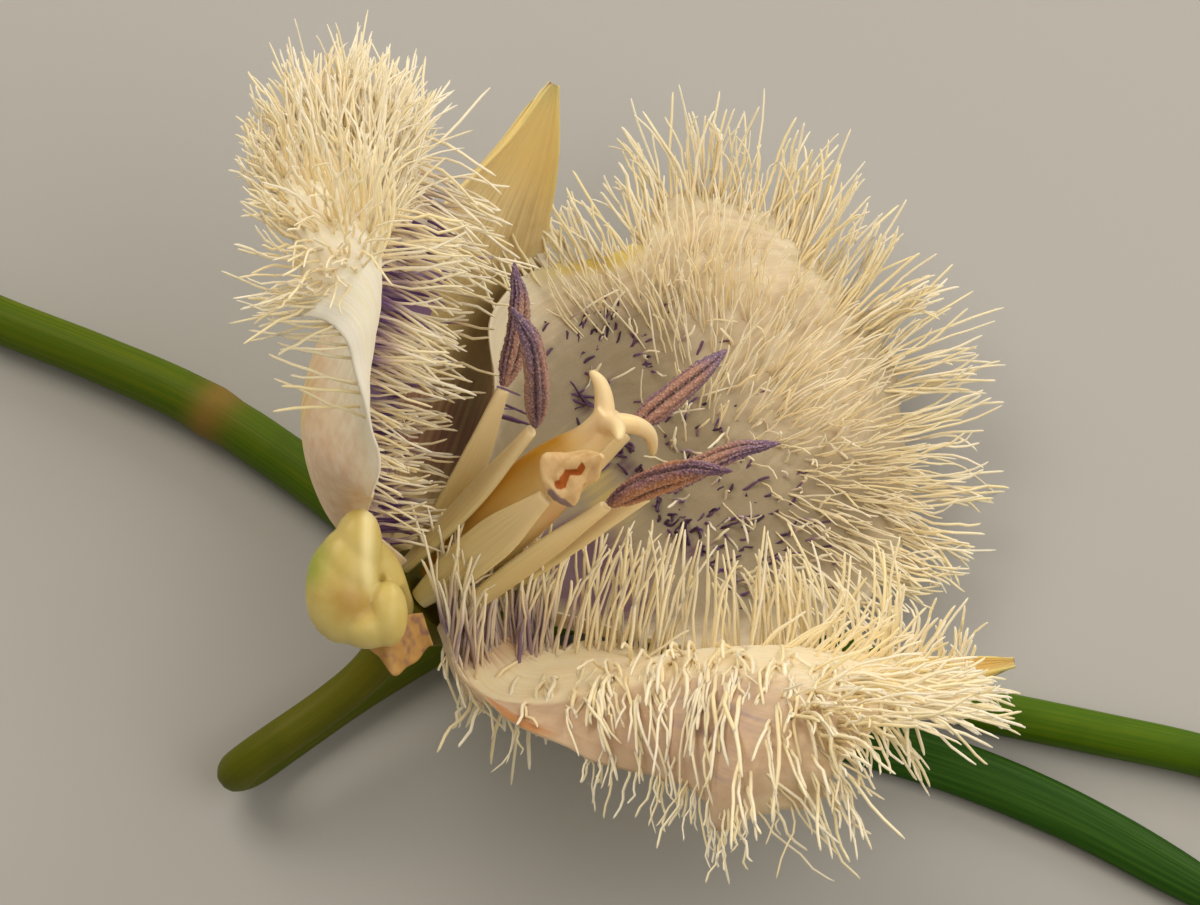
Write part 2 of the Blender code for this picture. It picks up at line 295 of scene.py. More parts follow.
def along(middles, side=None):
    # fine points, tangents and two cross directions of a curve through middles
    fine = smooth(middles, np.linspace(0, 1, 400))
    tangent = unit(np.gradient(fine[:, :3], axis=0))
    if side is None:
        first = np.cross(tangent[0], (0, 0, 1))
        across = [first / np.linalg.norm(first)]
        for here in tangent[1:]:
            step = across[-1] - here * (across[-1] @ here)
            across.append(step / np.linalg.norm(step))
        across = np.array(across)
    else:
        across = unit(np.asarray(side, float) - tangent * (tangent @ side)[:, None])
    return fine, tangent, across, np.cross(tangent, across)


def onCurve(frames, t):
    place = np.clip(t, 0, 1) * (len(frames[0]) - 1)
    first = np.minimum(place.astype(int), len(frames[0]) - 2)
    f = (place - first)[:, None]
    return [run[first] * (1 - f) + run[first + 1] * f for run in frames]


def roundEnds(piece, width):
    rim = piece.modifiers.new("roundedRim", "BEVEL")
    rim.width = width
    rim.segments = 2
    rim.angle_limit = math.radians(55)
    bpy.ops.object.select_all(action="DESELECT")
    bpy.context.view_layer.objects.active = piece
    bpy.ops.object.modifier_apply(modifier=rim.name)


def ovalOf(across, up, wide, thick, angle):
    return across * (wide * np.cos(angle))[:, None] + up * (thick * np.sin(angle))[:, None]


def fusePieces(pieces, voxel, rounds):
    # joins closed pieces and melts them into one smooth skin
    bpy.ops.object.select_all(action="DESELECT")
    for piece in pieces:
        piece.select_set(True)
    bpy.context.view_layer.objects.active = pieces[0]
    bpy.ops.object.join()
    whole = bpy.context.object
    fuse = whole.modifiers.new("fuse", "REMESH")
    fuse.mode = "VOXEL"
    fuse.voxel_size = voxel
    bpy.ops.object.modifier_apply(modifier=fuse.name)
    soften = whole.modifiers.new("soften", "SMOOTH")
    soften.iterations = rounds
    bpy.ops.object.modifier_apply(modifier=soften.name)
    for name in [field.name for field in whole.data.attributes if field.name == "lie"]:
        whole.data.attributes.remove(whole.data.attributes[name])
    bpy.ops.object.select_all(action="DESELECT")
    whole.select_set(True)
    bpy.ops.object.shade_smooth()
    return whole


def finishPiece(piece, look, slot, *nodes):
    piece.data.materials.clear()
    piece.data.materials.append(look)
    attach(piece, "root")
    if nodes:
        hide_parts(*nodes)


# ---- petals and sepals

# Midribs are (out, up) from the flower's foot in mm, and widths are half widths in mm from claw to
# tip. Each side turns up (+) or rolls back (-) in degrees, first near the midrib, then at the margin.
petals = {
    "petalBack": {
        "node": "petal_back",
        "turn": -6,
        "midrib": [(1.9, 0.2), (4.6, 0.2), (7.6, 1.6), (9.9, 4.4), (11.4, 7.4), (12.8, 9.8), (14.6, 11.8)],
        "lowWidths": [2.4, 5.6, 7.9, 9.0, 9.0, 8.3, 6.6, 2.6],
        "highWidths": [1.3, 3.4, 5.5, 7.3, 7.2, 6.0, 6.6, 3.8],
        "lowCup": [60, 60, 55, 50, 35, 20, 10],
        "lowRoll": [0, 0, 0, -10, -20, -30, -30],
        "highCup": [70, 75, 60, 40, 30, 20, 10],
        "highRoll": [0, 0, 0, -10, -20, -30, -30],
    },
    "petalLeft": {
        "node": "petal_left",
        "trim": (0.30, 0.08),
        "turn": 120,
        "midrib": [
            (1.9, 0.2), (4.6, 0.4), (7.7, 2.6), (8.9, 5.6),
            (10.0, 8.3), (12.0, 9.8), (14.0, 9.7), (15.2, 8.4),
        ],
        "lowWidths": [1.6, 6.8, 9.8, 10.0, 8.6, 7.0, 5.4, 1.0],
        "highWidths": [1.3, 1.9, 3.8, 5.2, 5.2, 5.1, 5.3, 1.2],
        "lowCup": [45, 52, 58, 50, 35, 20, 10],
        "lowRoll": [0, 0, 0, -10, -20, -30, -30],
        "highCup": [80, 90, 60, 40, 20, 0, 0],
        "highRoll": [0, 0, 0, -20, -70, -90, -60],
    },
    "petalFront": {
        "node": "petal_front",
        "turn": -120,
        "midrib": [
            (1.9, 0.2), (4.3, 0.5), (5.9, 2.6), (7.0, 5.6),
            (8.6, 8.7), (10.6, 11.3), (12.7, 13.3), (14.6, 14.4),
        ],
        "tilt": [5, 22, 30, 26, 16, 6, 0],
        "lowWidths": [1.3, 1.8, 3.2, 4.6, 5.7, 7.1, 8.8, 6.2],
        "highWidths": [2.0, 4.0, 5.3, 6.4, 7.1, 6.8, 5.4, 1.2],
        "lowCup": [60, 50, 15, 0, 0, -25, -45],
        "lowRoll": [0, 0, -45, -85, -105, -95, -75],
        "highCup": [60, 30, -20, -35, -15, 10, 30],
        "highRoll": [0, -10, -10, -5, -5, -20, -30],
    },
}
petalSheet = {"columns": 96, "rows": 96, "thickness": 0.24, "ruffle": 0.10, "ruffles": 7, "ridge": 0.011}


def bladePoints(shape, u, v):
    run = 0.45 * v + 0.55 * np.sin(v * math.pi / 2)
    fine = smooth(shape["midrib"], np.linspace(0, 1, 400))
    length = np.concatenate([[0], np.cumsum(np.linalg.norm(np.diff(fine, axis=0), axis=1))])
    slope = np.gradient(fine, length, axis=0)
    at = run * length[-1]
    rib = np.stack([np.interp(at, length, fine[:, k]) for k in (0, 1)], axis=1)
    tangent = unit(np.stack([np.interp(at, length, slope[:, k]) for k in (0, 1)], axis=1))
    steps = np.linspace(0, 1, 41)
    points = np.zeros((len(u), 3))
    for side, end in ((-1, "low"), (1, "high")):
        mine = np.flatnonzero(u * side >= 0)
        width, cup, roll = (smooth(shape[end + key], run[mine]) for key in ("Widths", "Cup", "Roll"))
        tilt = side * smooth(shape.get("tilt", [0, 0]), run[mine])
        angle = np.radians(tilt[:, None] + cup[:, None] * steps + roll[:, None] * steps**2)
        place = np.abs(u[mine]) * (len(steps) - 1)
        first = np.minimum(place.astype(int), len(steps) - 2)
        start, pick = np.zeros((len(mine), 1)), np.arange(len(mine))
        totals = [
            np.concatenate([start, np.cumsum((turn[:, 1:] + turn[:, :-1]) / 2, axis=1)], axis=1)
            for turn in (np.cos(angle), np.sin(angle))
        ]
        reach, rise = (
            (total[pick, first] + (total[pick, first + 1] - total[pick, first]) * (place - first))
            * steps[1] * width
            for total in totals
        )
        points[mine, 0] = rib[mine, 0] - tangent[mine, 1] * rise
        points[mine, 1] = side * reach
        points[mine, 2] = rib[mine, 1] + tangent[mine, 0] * rise
    return points


class Blade:
    # a petal's or sepal's inner face: points, normals and directions at any (u, v)
    def __init__(self, shape):
        self.shape = shape
        grid = np.meshgrid(np.linspace(-1, 1, 41), np.linspace(0, 1, 41))
        u, v = grid[0].ravel(), grid[1].ravel()
        rough = self.bare(u, v)
        inside = unit(self.slopes(u, v, True))
        both = np.concatenate([rough, rough - inside * shape.get("cadThickness", 0.32) * mm])
        self.step = seatOn(both, shape["node"])

    def bare(self, u, v):
        return aboutAxis(bladePoints(self.shape, np.clip(u, -1, 1), np.clip(v, 0, 1)), self.shape["turn"])

    def slopes(self, u, v, normals=False):
        e = 0.004
        right = self.bare(u + e, v) - self.bare(u - e, v)
        ahead = self.bare(u, v + e) - self.bare(u, v - e)
        return np.cross(ahead, right) if normals else (right, ahead)

    def at(self, u, v):
        return self.bare(u, v) + self.step

    def directions(self, u, v):
        right, ahead = self.slopes(u, v)
        return unit(right), unit(ahead), unit(np.cross(ahead, right))

    def area(self, u, v):
        return np.linalg.norm(self.slopes(u, v, True), axis=1)


def petalPlace(blade, seed):
    phase = np.random.RandomState(seed).uniform(0, 2 * math.pi, 6)

    def place(u, v):
        lowTrim, highTrim = blade.shape.get("trim", (0, 0))
        u = u * (1 - np.where(u < 0, lowTrim * ease(v, 0.5, 0.75), highTrim * bump(v, 0.56, 0.14)))
        inward = blade.directions(u, v)[2]
        edge = np.maximum(np.abs(u) ** 3, v**6)
        around = np.where(v > 0.9, u * 2.5, v * 4 * np.sign(u))
        wave = np.sin(around * petalSheet["ruffles"] + phase[0]) + 0.5 * np.sin(around * 15 + phase[1])
        ribs = np.sin(u * 33 + phase[2]) + 0.7 * np.sin(u * 61 + 2 * v + phase[3])
        ribs = ribs + 0.4 * np.sin(u * 97 + phase[4])
        lift = petalSheet["ruffle"] * edge * wave * ease(v, 0.1, 0.4)
        lift = lift + petalSheet["ridge"] * ribs * ease(v, 0.1, 0.5)
        return blade.at(u, v) + inward * lift[:, None] * mm

    return place


def bump(x, middle, width):
    return np.exp(-(((x - middle) / width) ** 2))


# Where a petal is stained violet, where it is yellow, and where it is thin and tan. Some rules also paint
# shade or light, as marked below. Each rule reads (u, v) of the inner face, and outside rules the outer one.
petalPaint = {
    "petalBack": {
        # violet: a stain arc with dashes at the glands, and at the claw under the pistil a maroon stain
        # deepened with painted shade
        "violet": lambda u, v: 0.55 * bump(v, 0.385, 0.02) * (np.abs(u + 0.05) < 0.6)
        * (0.5 + 0.5 * np.cos(u * 17))
        + 0.95 * bump(u, -0.3, 0.33) * bump(v, 0.22, 0.10),
        # yellow: the glands' own yellow, and a strip on the upper margin that is painted light where the key
        # falls on that edge
        "yellow": lambda u, v: 0.45 * bump(v, 0.33, 0.05) * bump(u, 0.05, 0.35)
        + 0.75 * ease(u, 0.82, 1.0) * bump(v, 0.55, 0.14),
        # tan: thin tan tissue in the throat, deepened there with painted shade, and a painted shade greying
        # the low side (u < 0)
        "tan": lambda u, v: 1 - ease(np.maximum(np.abs(u), v * 1.15), 0.45, 0.95)
        + 0.6 * ease(-u, 0.2, 0.8) * ease(v, 0.25, 0.5),
    },
    "petalLeft": {
        "violet": lambda u, v: ease(-u, 0.1, 0.6) * bump(v, 0.18, 0.2) * 0.85,
        "yellow": lambda u, v: 0.35 * (1 - ease(v, 0.1, 0.3)),
        "tan": lambda u, v: 0.5 * (1 - ease(v, 0.2, 0.5)),
    },
    "petalFront": {
        # violet: real streaks at the claw behind the ridge, and a grey-violet painted shade on the hanging
        # face
        "violet": lambda u, v: 0.35 * ease(u, 0.75, 1.0) * (1 - ease(v, 0.03, 0.12))
        + 0.42 * bump(u, -0.62, 0.25) * bump(v, 0.62, 0.25),
        "yellow": lambda u, v: 0.5 * (1 - ease(v, 0.02, 0.10))
        + 0.85 * ease(-u, 0.75, 0.95) * bump(v, 0.2, 0.07),
        # tan: the hanging face's own pinkish tan, darkened with painted shade where that face turns from the
        # light
        "tan": lambda u, v: 0.85 * ease(-u, 0.1, 0.5) * (1 - 0.3 * ease(v, 0.6, 0.95)),
    },
}
outsidePaint = {
    "violet": lambda u, v: 0 * u,
    "yellow": lambda u, v: 0.6 * (1 - ease(v, 0.15, 0.5)) * (0.4 + bump(u, 0, 0.2)),
    "tan": lambda u, v: (0.6 + 0.2 * bump(u, 0, 0.2)) * (1 - ease(v, 0.28, 0.5)),
}


def paintSheet(piece, u, v, sides, inside, outside):
    keys = ("violet", "yellow", "tan")
    values = [np.where(sides > 0.5, outside[key](u, v), inside[key](u, v)) for key in keys]
    writeField(piece.data, "paint", np.clip(np.stack(values, axis=1), 0, 1))


petalColours = {
    "petalBack": {
        # tan and violet here are partly painted shade (throat, claw, low side), and yellow is partly painted
        # light (upper margin)
        "body": "#d3c6ad", "streak": "#e3d8c2", "tan": "#958970",
        "yellow": "#d8c060", "violet": "#5a3350",
    },
    "petalLeft": {
        "body": "#f8efd8", "streak": "#fdf8ea", "tan": "#c99c66",
        "yellow": "#e6d48e", "violet": "#7c5f98",
    },
    "petalFront": {
        # tan and grey violet here are partly painted shade on the hanging face
        "body": "#f1e0bd", "streak": "#f9ecd0", "tan": "#b99d86",
        "yellow": "#ad7440", "violet": "#94808f",
    },
}


def petalLook(name, colours):
    # petal: thin cells round air, so it scatters light softly and lets some of it through
    made, tree, shader = startMaterial(name, 0.48, 1.4, **flesh(0.4, 0.6, 0.4, 0.25), **{"Sheen Weight": 0.1})
    lie = addNode(tree, "Attribute", attribute_name="lie")
    part = channels(tree, "paint")
    place = addNode(tree, "TexCoord")
    stretch = addNode(tree, "Mapping", {"Scale": (26, 2.2, 1)}, {"Vector": lie.outputs["Vector"]})
    veins = addNode(
        tree, "TexNoise", {"Scale": 1.0, "Detail": 4.0, "Roughness": 0.6},
        {"Vector": stretch.outputs["Vector"]},
    )
    mottle = addNode(
        tree, "TexNoise", {"Scale": 1 / (0.5 * mm), "Detail": 4.0}, {"Vector": place.outputs["Object"]},
    )
    cells = addNode(
        tree, "TexNoise", {"Scale": 1 / (0.08 * mm), "Detail": 2.0}, {"Vector": place.outputs["Object"]},
    )
    vein = addNode(
        tree, "MapRange", {"From Min": 0.35, "From Max": 0.62}, {"Value": veins.outputs["Fac"]},
    )
    body = addNode(
        tree, "MixRGB", {"Color1": linear(colours["body"]), "Color2": linear(colours["streak"])},
        {"Fac": vein.outputs["Result"]},
    )
    # each stain, painted shade and painted light is broken up by the veins and by the mottle
    for channel, key in (("Z", "tan"), ("Y", "yellow"), ("X", "violet")):
        noise, swing, low, high = (mottle, 0.5, 0.0, 1.0) if key == "tan" else (veins, 0.9, 0.2, 0.75)
        body = stainShadeOrLightOver(
            tree, body, colours[key], part.outputs[channel], noise.outputs["Fac"], swing, low, high, 0.9,
            interpolation_type="SMOOTHSTEP",
        )
    height = addNode(
        tree, "Math", {1: 0.25},
        {0: cells.outputs["Fac"], 2: veins.outputs["Fac"]}, operation="MULTIPLY_ADD",
    )
    finishLook(tree, shader, body.outputs["Color"], height.outputs["Value"], 0.5, 0.06)
    return made


# ---- hairs

# Rings of one hair from root to tip: how far each stands above the last, and how much narrower it is
oneHair = {
    "sides": 5,
    "rings": [
        (0.03, 1.0), (0.12, 0.95), (0.17, 0.97), (0.17, 0.98),
        (0.17, 0.98), (0.16, 0.96), (0.14, 0.90), (0.04, 0.5),
    ],
}


def modelHair():
    # one straight hair, 1 long: a disc that is extruded ring by ring and narrowed
    bpy.ops.object.select_all(action="DESELECT")
    bpy.ops.mesh.primitive_circle_add(vertices=oneHair["sides"], radius=1, fill_type="NGON")
    hair = bpy.context.object
    bpy.ops.object.mode_set(mode="EDIT")
    bpy.ops.mesh.select_all(action="SELECT")
    for rise, narrow in oneHair["rings"]:
        bpy.ops.mesh.extrude_region_move(TRANSFORM_OT_translate={"value": (0, 0, rise)})
        bpy.ops.transform.resize(value=(narrow, narrow, 1))
    bpy.ops.mesh.select_all(action="DESELECT")
    bpy.ops.mesh.select_mode(type="EDGE")
    bpy.ops.mesh.select_non_manifold()       # the open ring at the root
    bpy.ops.mesh.edge_face_add()
    bpy.ops.mesh.select_all(action="SELECT")
    bpy.ops.mesh.normals_make_consistent(inside=False)
    bpy.ops.mesh.select_mode(type="VERT")
    bpy.ops.object.mode_set(mode="OBJECT")
    points = readPoints(hair.data)
    # extruding gives the faces in an order that changes from run to run
    faces = sorted(list(face.vertices) for face in hair.data.polygons)
    bpy.data.objects.remove(hair, do_unlink=True)
    return points, faces


hairPoints, hairFaces = modelHair()


def growHairs(name, blade, place, field, seed):
    rng = np.random.RandomState(seed)
    many = 40000
    u, v = rng.uniform(-1, 1, many), rng.uniform(0, 1, many)
    weight = blade.area(u, v) * np.clip(field["where"](u, v), 0, None)
    pick = rng.choice(many, field["count"], replace=False, p=weight / weight.sum())
    u, v = u[pick], v[pick]
    right, ahead, inward = blade.directions(u, v)
    count = len(u)
    side, tip, up = (np.asarray(field[key](u, v) + u * 0)[:, None] for key in ("side", "tip", "up"))
    flow = right * side + ahead * tip + np.asarray(field["toward"])
    if "spread" in field:
        flow = flow + unit(blade.at(u, v) - np.array(field["spread"]) * mm) * field["spreading"]
    # neighbours sway together, and each strays a little on its own
    sways = [np.sin(u * a + v * b + c) for a, b, c in rng.uniform(4, 11, (3, 3))]
    shared = np.stack(sways, axis=1) * field["sway"]
    start = unit(inward * up + flow + shared + rng.normal(0, field["stray"], (count, 3)))
    bend = rng.normal(0, field["bend"], (count, 3)) + shared * 0.8 + flow * field["settle"]
    bend = bend + np.array(field["droop"])
    length = rng.uniform(*field["length"], count) * field["grow"](u, v)
    radius = field["radius"] * rng.uniform(0.8, 1.2, count) * mm
    sideways = unit(np.cross(start, rng.normal(0, 1, (count, 3))))
    upwards = np.cross(start, sideways)
    root = place(u, v) - inward * 0.06 * mm
    phase = rng.uniform(0, 2 * math.pi, (2, count))
    beat = rng.uniform(5, 13, (2, count))
    wave = field["wave"] * rng.uniform(0.3, 1.0, (2, count)) * mm
    z = hairPoints[:, 2]
    curl = 0.45 * z**2 + 0.35 * z**4
    pathway = start[:, None] * z[:, None] + bend[:, None] * curl[:, None]
    pathway = root[:, None] + length[:, None, None] * mm * pathway
    for k, lateral in enumerate((sideways, upwards)):
        swing = np.sin(beat[k][:, None] * z + phase[k][:, None]) - np.sin(phase[k])[:, None]
        swing = swing * wave[k][:, None]
        pathway = pathway + lateral[:, None] * (swing * ease(z, 0, 0.5))[:, :, None]
    # tips lean to the tip of the nearest of a few leading hairs
    lead = rng.choice(count, max(count // field["tuft"], 1), replace=False)
    nearest = lead[np.argmin(np.linalg.norm(root[:, None] - root[lead][None], axis=2), axis=1)]
    ends = root + length[:, None] * mm * (start + bend * 0.8)
    pull = (ends[nearest] - ends) * field["clump"]
    pathway = pathway + pull[:, None] * (z**2)[:, None]
    ring = sideways[:, None] * hairPoints[:, 0][:, None] + upwards[:, None] * hairPoints[:, 1][:, None]
    points = pathway + ring * radius[:, None, None]
    points[:, :, 2] = np.maximum(points[:, :, 2], 0.02 * mm)      # none reaches under the bench
    size = len(hairPoints)
    faces = [[k * size + corner for corner in face] for k in range(count) for face in hairFaces]
    mesh = bpy.data.meshes.new(name)
    mesh.from_pydata(points.reshape(-1, 3).tolist(), [], faces)
    mesh.polygons.foreach_set("use_smooth", [True] * len(mesh.polygons))
    stain = np.clip(field["stain"](u, v) * rng.uniform(0.3, 1.5, count), 0, 1)
    tint = np.stack(np.broadcast_arrays(stain[:, None], rng.uniform(0, 1, count)[:, None], z[None]), axis=2)
    writeField(mesh, "tint", tint.reshape(-1, 3))
    piece = bpy.data.objects.new(name, mesh)
    bpy.context.scene.collection.objects.link(piece)
    return piece


def edgeOf(u, v, start=0.8):
    return np.maximum(ease(np.abs(u), start, 1.0), ease(v, start, 1.0))


def fan(u, v):
    return u * 1.3


silky = {
    "radius": 0.07, "sway": 0.13, "stray": 0.09, "bend": 0.16, "settle": 0.1, "droop": (0, 0, 0),
    "wave": 0.06,
    "tuft": 9, "clump": 0.15, "toward": (0, 0, 0),
    "up": lambda u, v: 0.3, "side": lambda u, v: 0, "tip": lambda u, v: 0, "grow": lambda u, v: 1 + 0 * u,
    "stain": lambda u, v: 0 * u,
}
# Each field of hairs: where they stand, how far they rise (up), and which way they lie: across the
# petal (side), to its tip (tip), one way over the bench (toward), or away from a point in mm (spread)
hairFields = {
    "petalBack": [
        silky | {
            "name": "fringeBack", "count": 330, "length": (2.2, 3.3), "radius": 0.054, "stray": 0.15,
            "bend": 0.22,
            "spread": (3.6, 5.2, 1.0), "spreading": 1.0,
            "where": lambda u, v: edgeOf(u, v, 0.86) ** 2 * (1 - 0.5 * ease(v, 0.93, 1.0))
            * np.where(u > 0, ease(v, 0.3, 0.5), ease(v, 0.5, 0.68)),
            "up": lambda u, v: 0.22,
            "grow": lambda u, v: 0.75 + 0.25 * ease(v, 0.55, 0.8),
        },
        silky | {
            "name": "combedBack", "count": 540, "length": (1.3, 2.4), "radius": 0.034, "clump": 0.1,
            "stray": 0.09,
            "spread": (3.6, 5.2, 0.0), "spreading": 1.0, "wave": 0.04,
            "where": lambda u, v: bump(np.maximum(np.abs(u), v * 1.02), 0.72, 0.15) * ease(v, 0.36, 0.6),
            "up": lambda u, v: 0.06,
        },
        silky | {
            "name": "rootedBack", "count": 130, "length": (0.6, 1.3), "radius": 0.055, "stray": 0.35,
            "bend": 0.5,
            "wave": 0.05, "clump": 0.0,
            "where": lambda u, v: ease(v, 0.36, 0.44) * (1 - ease(v, 0.62, 0.8))
            * (1 - ease(np.abs(u), 0.6, 0.85)),
            "up": lambda u, v: 0.8,
            "side": fan,
            "tip": lambda u, v: 0.6,
            "grow": lambda u, v: 0.6 + 0.6 * v,
            "stain": lambda u, v: 0.9 - 0.8 * ease(v, 0.5, 0.65),
        },
        silky | {
            "name": "bristlesBack", "count": 190, "length": (0.26, 0.44), "radius": 0.055, "stray": 0.22,
            "bend": 0.3,
            "wave": 0.02, "clump": 0.0,
            "where": lambda u, v: ease(v, 0.34, 0.42) * (1 - ease(v, 0.5, 0.68))
            * (1 - ease(np.abs(u), 0.7, 0.88)),
            "up": lambda u, v: 0.12,
            "side": fan,
            "tip": lambda u, v: 0.9,
            "grow": lambda u, v: 1.2 - 0.4 * v,
        },
        silky | {
            "name": "bristlesGland", "count": 70, "length": (0.3, 0.65), "radius": 0.06, "stray": 0.5,
            "bend": 0.35,
            "wave": 0.02, "clump": 0.2,
            "where": lambda u, v: bump(v, 0.385, 0.018) * bump(u, -0.05, 0.4)
            * (0.3 + bump(u, -0.3, 0.12) + bump(u, 0.08, 0.1) + bump(u, 0.42, 0.07))
            + 0.7 * bump(v, 0.2, 0.025) * bump(u, 0.97, 0.04),
            "up": lambda u, v: 0.5,
            "tip": lambda u, v: 0.4,
        },
    ],
    "petalLeft": [
        silky | {
            "name": "hairsLeftLobe", "count": 700, "length": (2.0, 3.3), "radius": 0.050, "wave": 0.10,
            "bend": 0.26,
            "spread": (-6.9, 2.8, 18.6), "spreading": 1.1,
            "where": lambda u, v: (0.6 + 0.6 * edgeOf(u, v, 0.75))
            * ease(v - 0.06 * ease(u, -0.2, 0.2), 0.5, 0.6)
            * (1 - 0.9 * ease(u, 0.2, 0.5) * (1 - ease(v, 0.64, 0.72)))
            * (1 - 0.3 * bump(u, 0.1, 0.5) * bump(v, 0.76, 0.07)),
            "up": lambda u, v: 0.12,
            "side": lambda u, v: 0.5 * (u - 0.3),
            "grow": lambda u, v: 1 - 0.2 * edgeOf(u, v, 0.6) - 0.42 * ease(v, 0.8, 1.0),
        },
        silky | {
            "name": "hairsLeftFold", "count": 300, "length": (2.4, 3.6), "radius": 0.056, "clump": 0.3,
            "tuft": 6, "wave": 0.08,
            "toward": (0.95, -0.22, -0.05),
            "where": lambda u, v: ease(-u, -0.25, 0.2) * (1 - ease(v, 0.52, 0.64))
            * (1 + 1.5 * bump(v, 0.06, 0.1))
            * (1 - 0.8 * ease(-u, 0.75, 0.85) * (1 - ease(v, 0.2, 0.35))),
            "up": lambda u, v: 0.4,
            "grow": lambda u, v: 0.82 + 0.2 * ease(v, 0.05, 0.3) - 0.2 * ease(v, 0.35, 0.5),
            "stain": lambda u, v: 1.6 - 1.5 * ease(v, 0.38, 0.56),
        },
        silky | {
            "name": "fringeLeft", "count": 24, "length": (2.0, 3.0), "radius": 0.056, "stray": 0.15,
            "toward": (-1.0, -0.12, 0.1),
            "where": lambda u, v: ease(u, 0.7, 0.95) * bump(v, 0.61, 0.08),
            "up": lambda u, v: 0.1,
        },
    ],
    "petalFront": [
        silky | {
            "name": "hairsFrontUpright", "count": 270, "length": (2.5, 3.6), "radius": 0.062, "stray": 0.12,
            "bend": 0.2, "toward": (0.04, 0.9, 0.42),
            "where": lambda u, v: (ease(u, 0.72, 0.92) + (v < 0.03)) * (1 - 0.6 * ease(v, 0.3, 0.6))
            * (1 + 2.5 * bump(v, 0.06, 0.1)),
            "up": lambda u, v: 0.1,
            "tip": lambda u, v: 0.7 * ease(v, 0.35, 0.75),
            "grow": lambda u, v: 1 - 0.4 * ease(v, 0.55, 0.8),
            "stain": lambda u, v: 0.5 * (1 - ease(v, 0.04, 0.16)),
        },
        silky | {
            "name": "hairsFrontThroat", "count": 80, "length": (2.6, 3.6), "radius": 0.062, "stray": 0.12,
            "bend": 0.2,
            "toward": (-0.08, 0.85, 0.5),
            "where": lambda u, v: 1 - ease(v, 0.05, 0.07),
            "up": lambda u, v: 0.1,
            "stain": lambda u, v: 0.6 + 0 * u,
        },
        silky | {
            "name": "hairsFrontBrow", "count": 50, "length": (1.2, 2.4), "radius": 0.056, "stray": 0.15,
            "bend": 0.2, "toward": (0.3, 0.7, 0.35),
            "where": lambda u, v: bump(u, 0.5, 0.2) * ease(v, 0.25, 0.45) * (1 - 0.5 * ease(v, 0.8, 1.0)),
            "up": lambda u, v: 0.2,
            "tip": lambda u, v: 0.5 + 0.5 * v,
            "grow": lambda u, v: 1 - 0.4 * ease(v, 0.6, 0.8),
        },
        silky | {
            "name": "hairsFrontRidge", "count": 140, "length": (4.0, 6.0), "radius": 0.072, "stray": 0.05,
            "bend": 0.08,
            "droop": (0.10, -0.24, -0.46), "wave": 0.10, "sway": 0.09, "clump": 0.05,
            "where": lambda u, v: bump(u, 0.75 - 0.75 * ease(v, 0.05, 0.35), 0.3)
            * (0.5 + 0.5 * ease(v, 0.0, 0.15))
            * (1 - ease(v, 0.75, 0.9)),
            "up": lambda u, v: 0.14,
            "side": lambda u, v: -0.8,
            "tip": lambda u, v: 0.5 + 0.2 * ease(v, 0.3, 0.7),
            "grow": lambda u, v: 0.6 + 0.4 * ease(v, 0.08, 0.25) - 0.3 * ease(v, 0.5, 0.75),
        },
        silky | {
            "name": "hairsFrontFace", "count": 70, "length": (2.4, 3.8), "radius": 0.056, "stray": 0.06,
            "bend": 0.10,
            "droop": (0.10, -0.22, -0.46), "wave": 0.09, "sway": 0.09, "clump": 0.05,
            "where": lambda u, v: bump(u, -0.35, 0.25) * ease(v, 0.12, 0.3) * (1 - ease(v, 0.8, 0.95)),
            "up": lambda u, v: 0.14,
            "side": lambda u, v: -0.8,
            "tip": lambda u, v: 0.5 + 0.2 * ease(v, 0.3, 0.7),
            "grow": lambda u, v: 1 - 0.25 * ease(v, 0.5, 0.75),
        },
        silky | {
            "name": "hairsFrontMargin", "count": 55, "length": (1.0, 1.9), "radius": 0.045, "stray": 0.12,
            "bend": 0.22,
            "wave": 0.10, "toward": (0.14, -0.9, -0.38),
            "where": lambda u, v: ease(-u, 0.8, 0.95) * ease(v, 0.1, 0.25) * (1 - 0.8 * ease(v, 0.75, 0.9)),
            "up": lambda u, v: 0.25,
        },
        silky | {
            "name": "hairsFrontClaw", "count": 16, "length": (1.5, 2.6), "radius": 0.062, "stray": 0.15,
            "bend": 0.25,
            "wave": 0.12, "toward": (-0.2, -0.9, 0.1),
            "where": lambda u, v: (1 - ease(v, 0.08, 0.16)) * ease(-u, 0.2, 0.6),
            "up": lambda u, v: 0.35,
        },
        silky | {
            "name": "hairsFrontPlume", "count": 210, "length": (1.7, 2.8), "radius": 0.058, "stray": 0.13,
            "bend": 0.2,
            "spread": (5.0, -9.0, 15.0), "spreading": 1.2, "droop": (0.10, -0.12, -0.30),
            "where": lambda u, v: ease(v, 0.66, 0.85) * ease(u, -0.95, -0.4),
            "up": lambda u, v: 0.2,
            "grow": lambda u, v: 1 - 0.4 * ease(u, 0.0, 0.7),
        },
        silky | {
            "name": "hairsFrontTuft", "count": 50, "length": (1.6, 2.6), "radius": 0.052, "stray": 0.15,
            "bend": 0.2,
            "toward": (0.45, -0.75, -0.3), "wave": 0.10,
            "where": lambda u, v: ease(v, 0.84, 0.94) * bump(u, -0.6, 0.35),
            "up": lambda u, v: 0.2,
        },
    ],
}


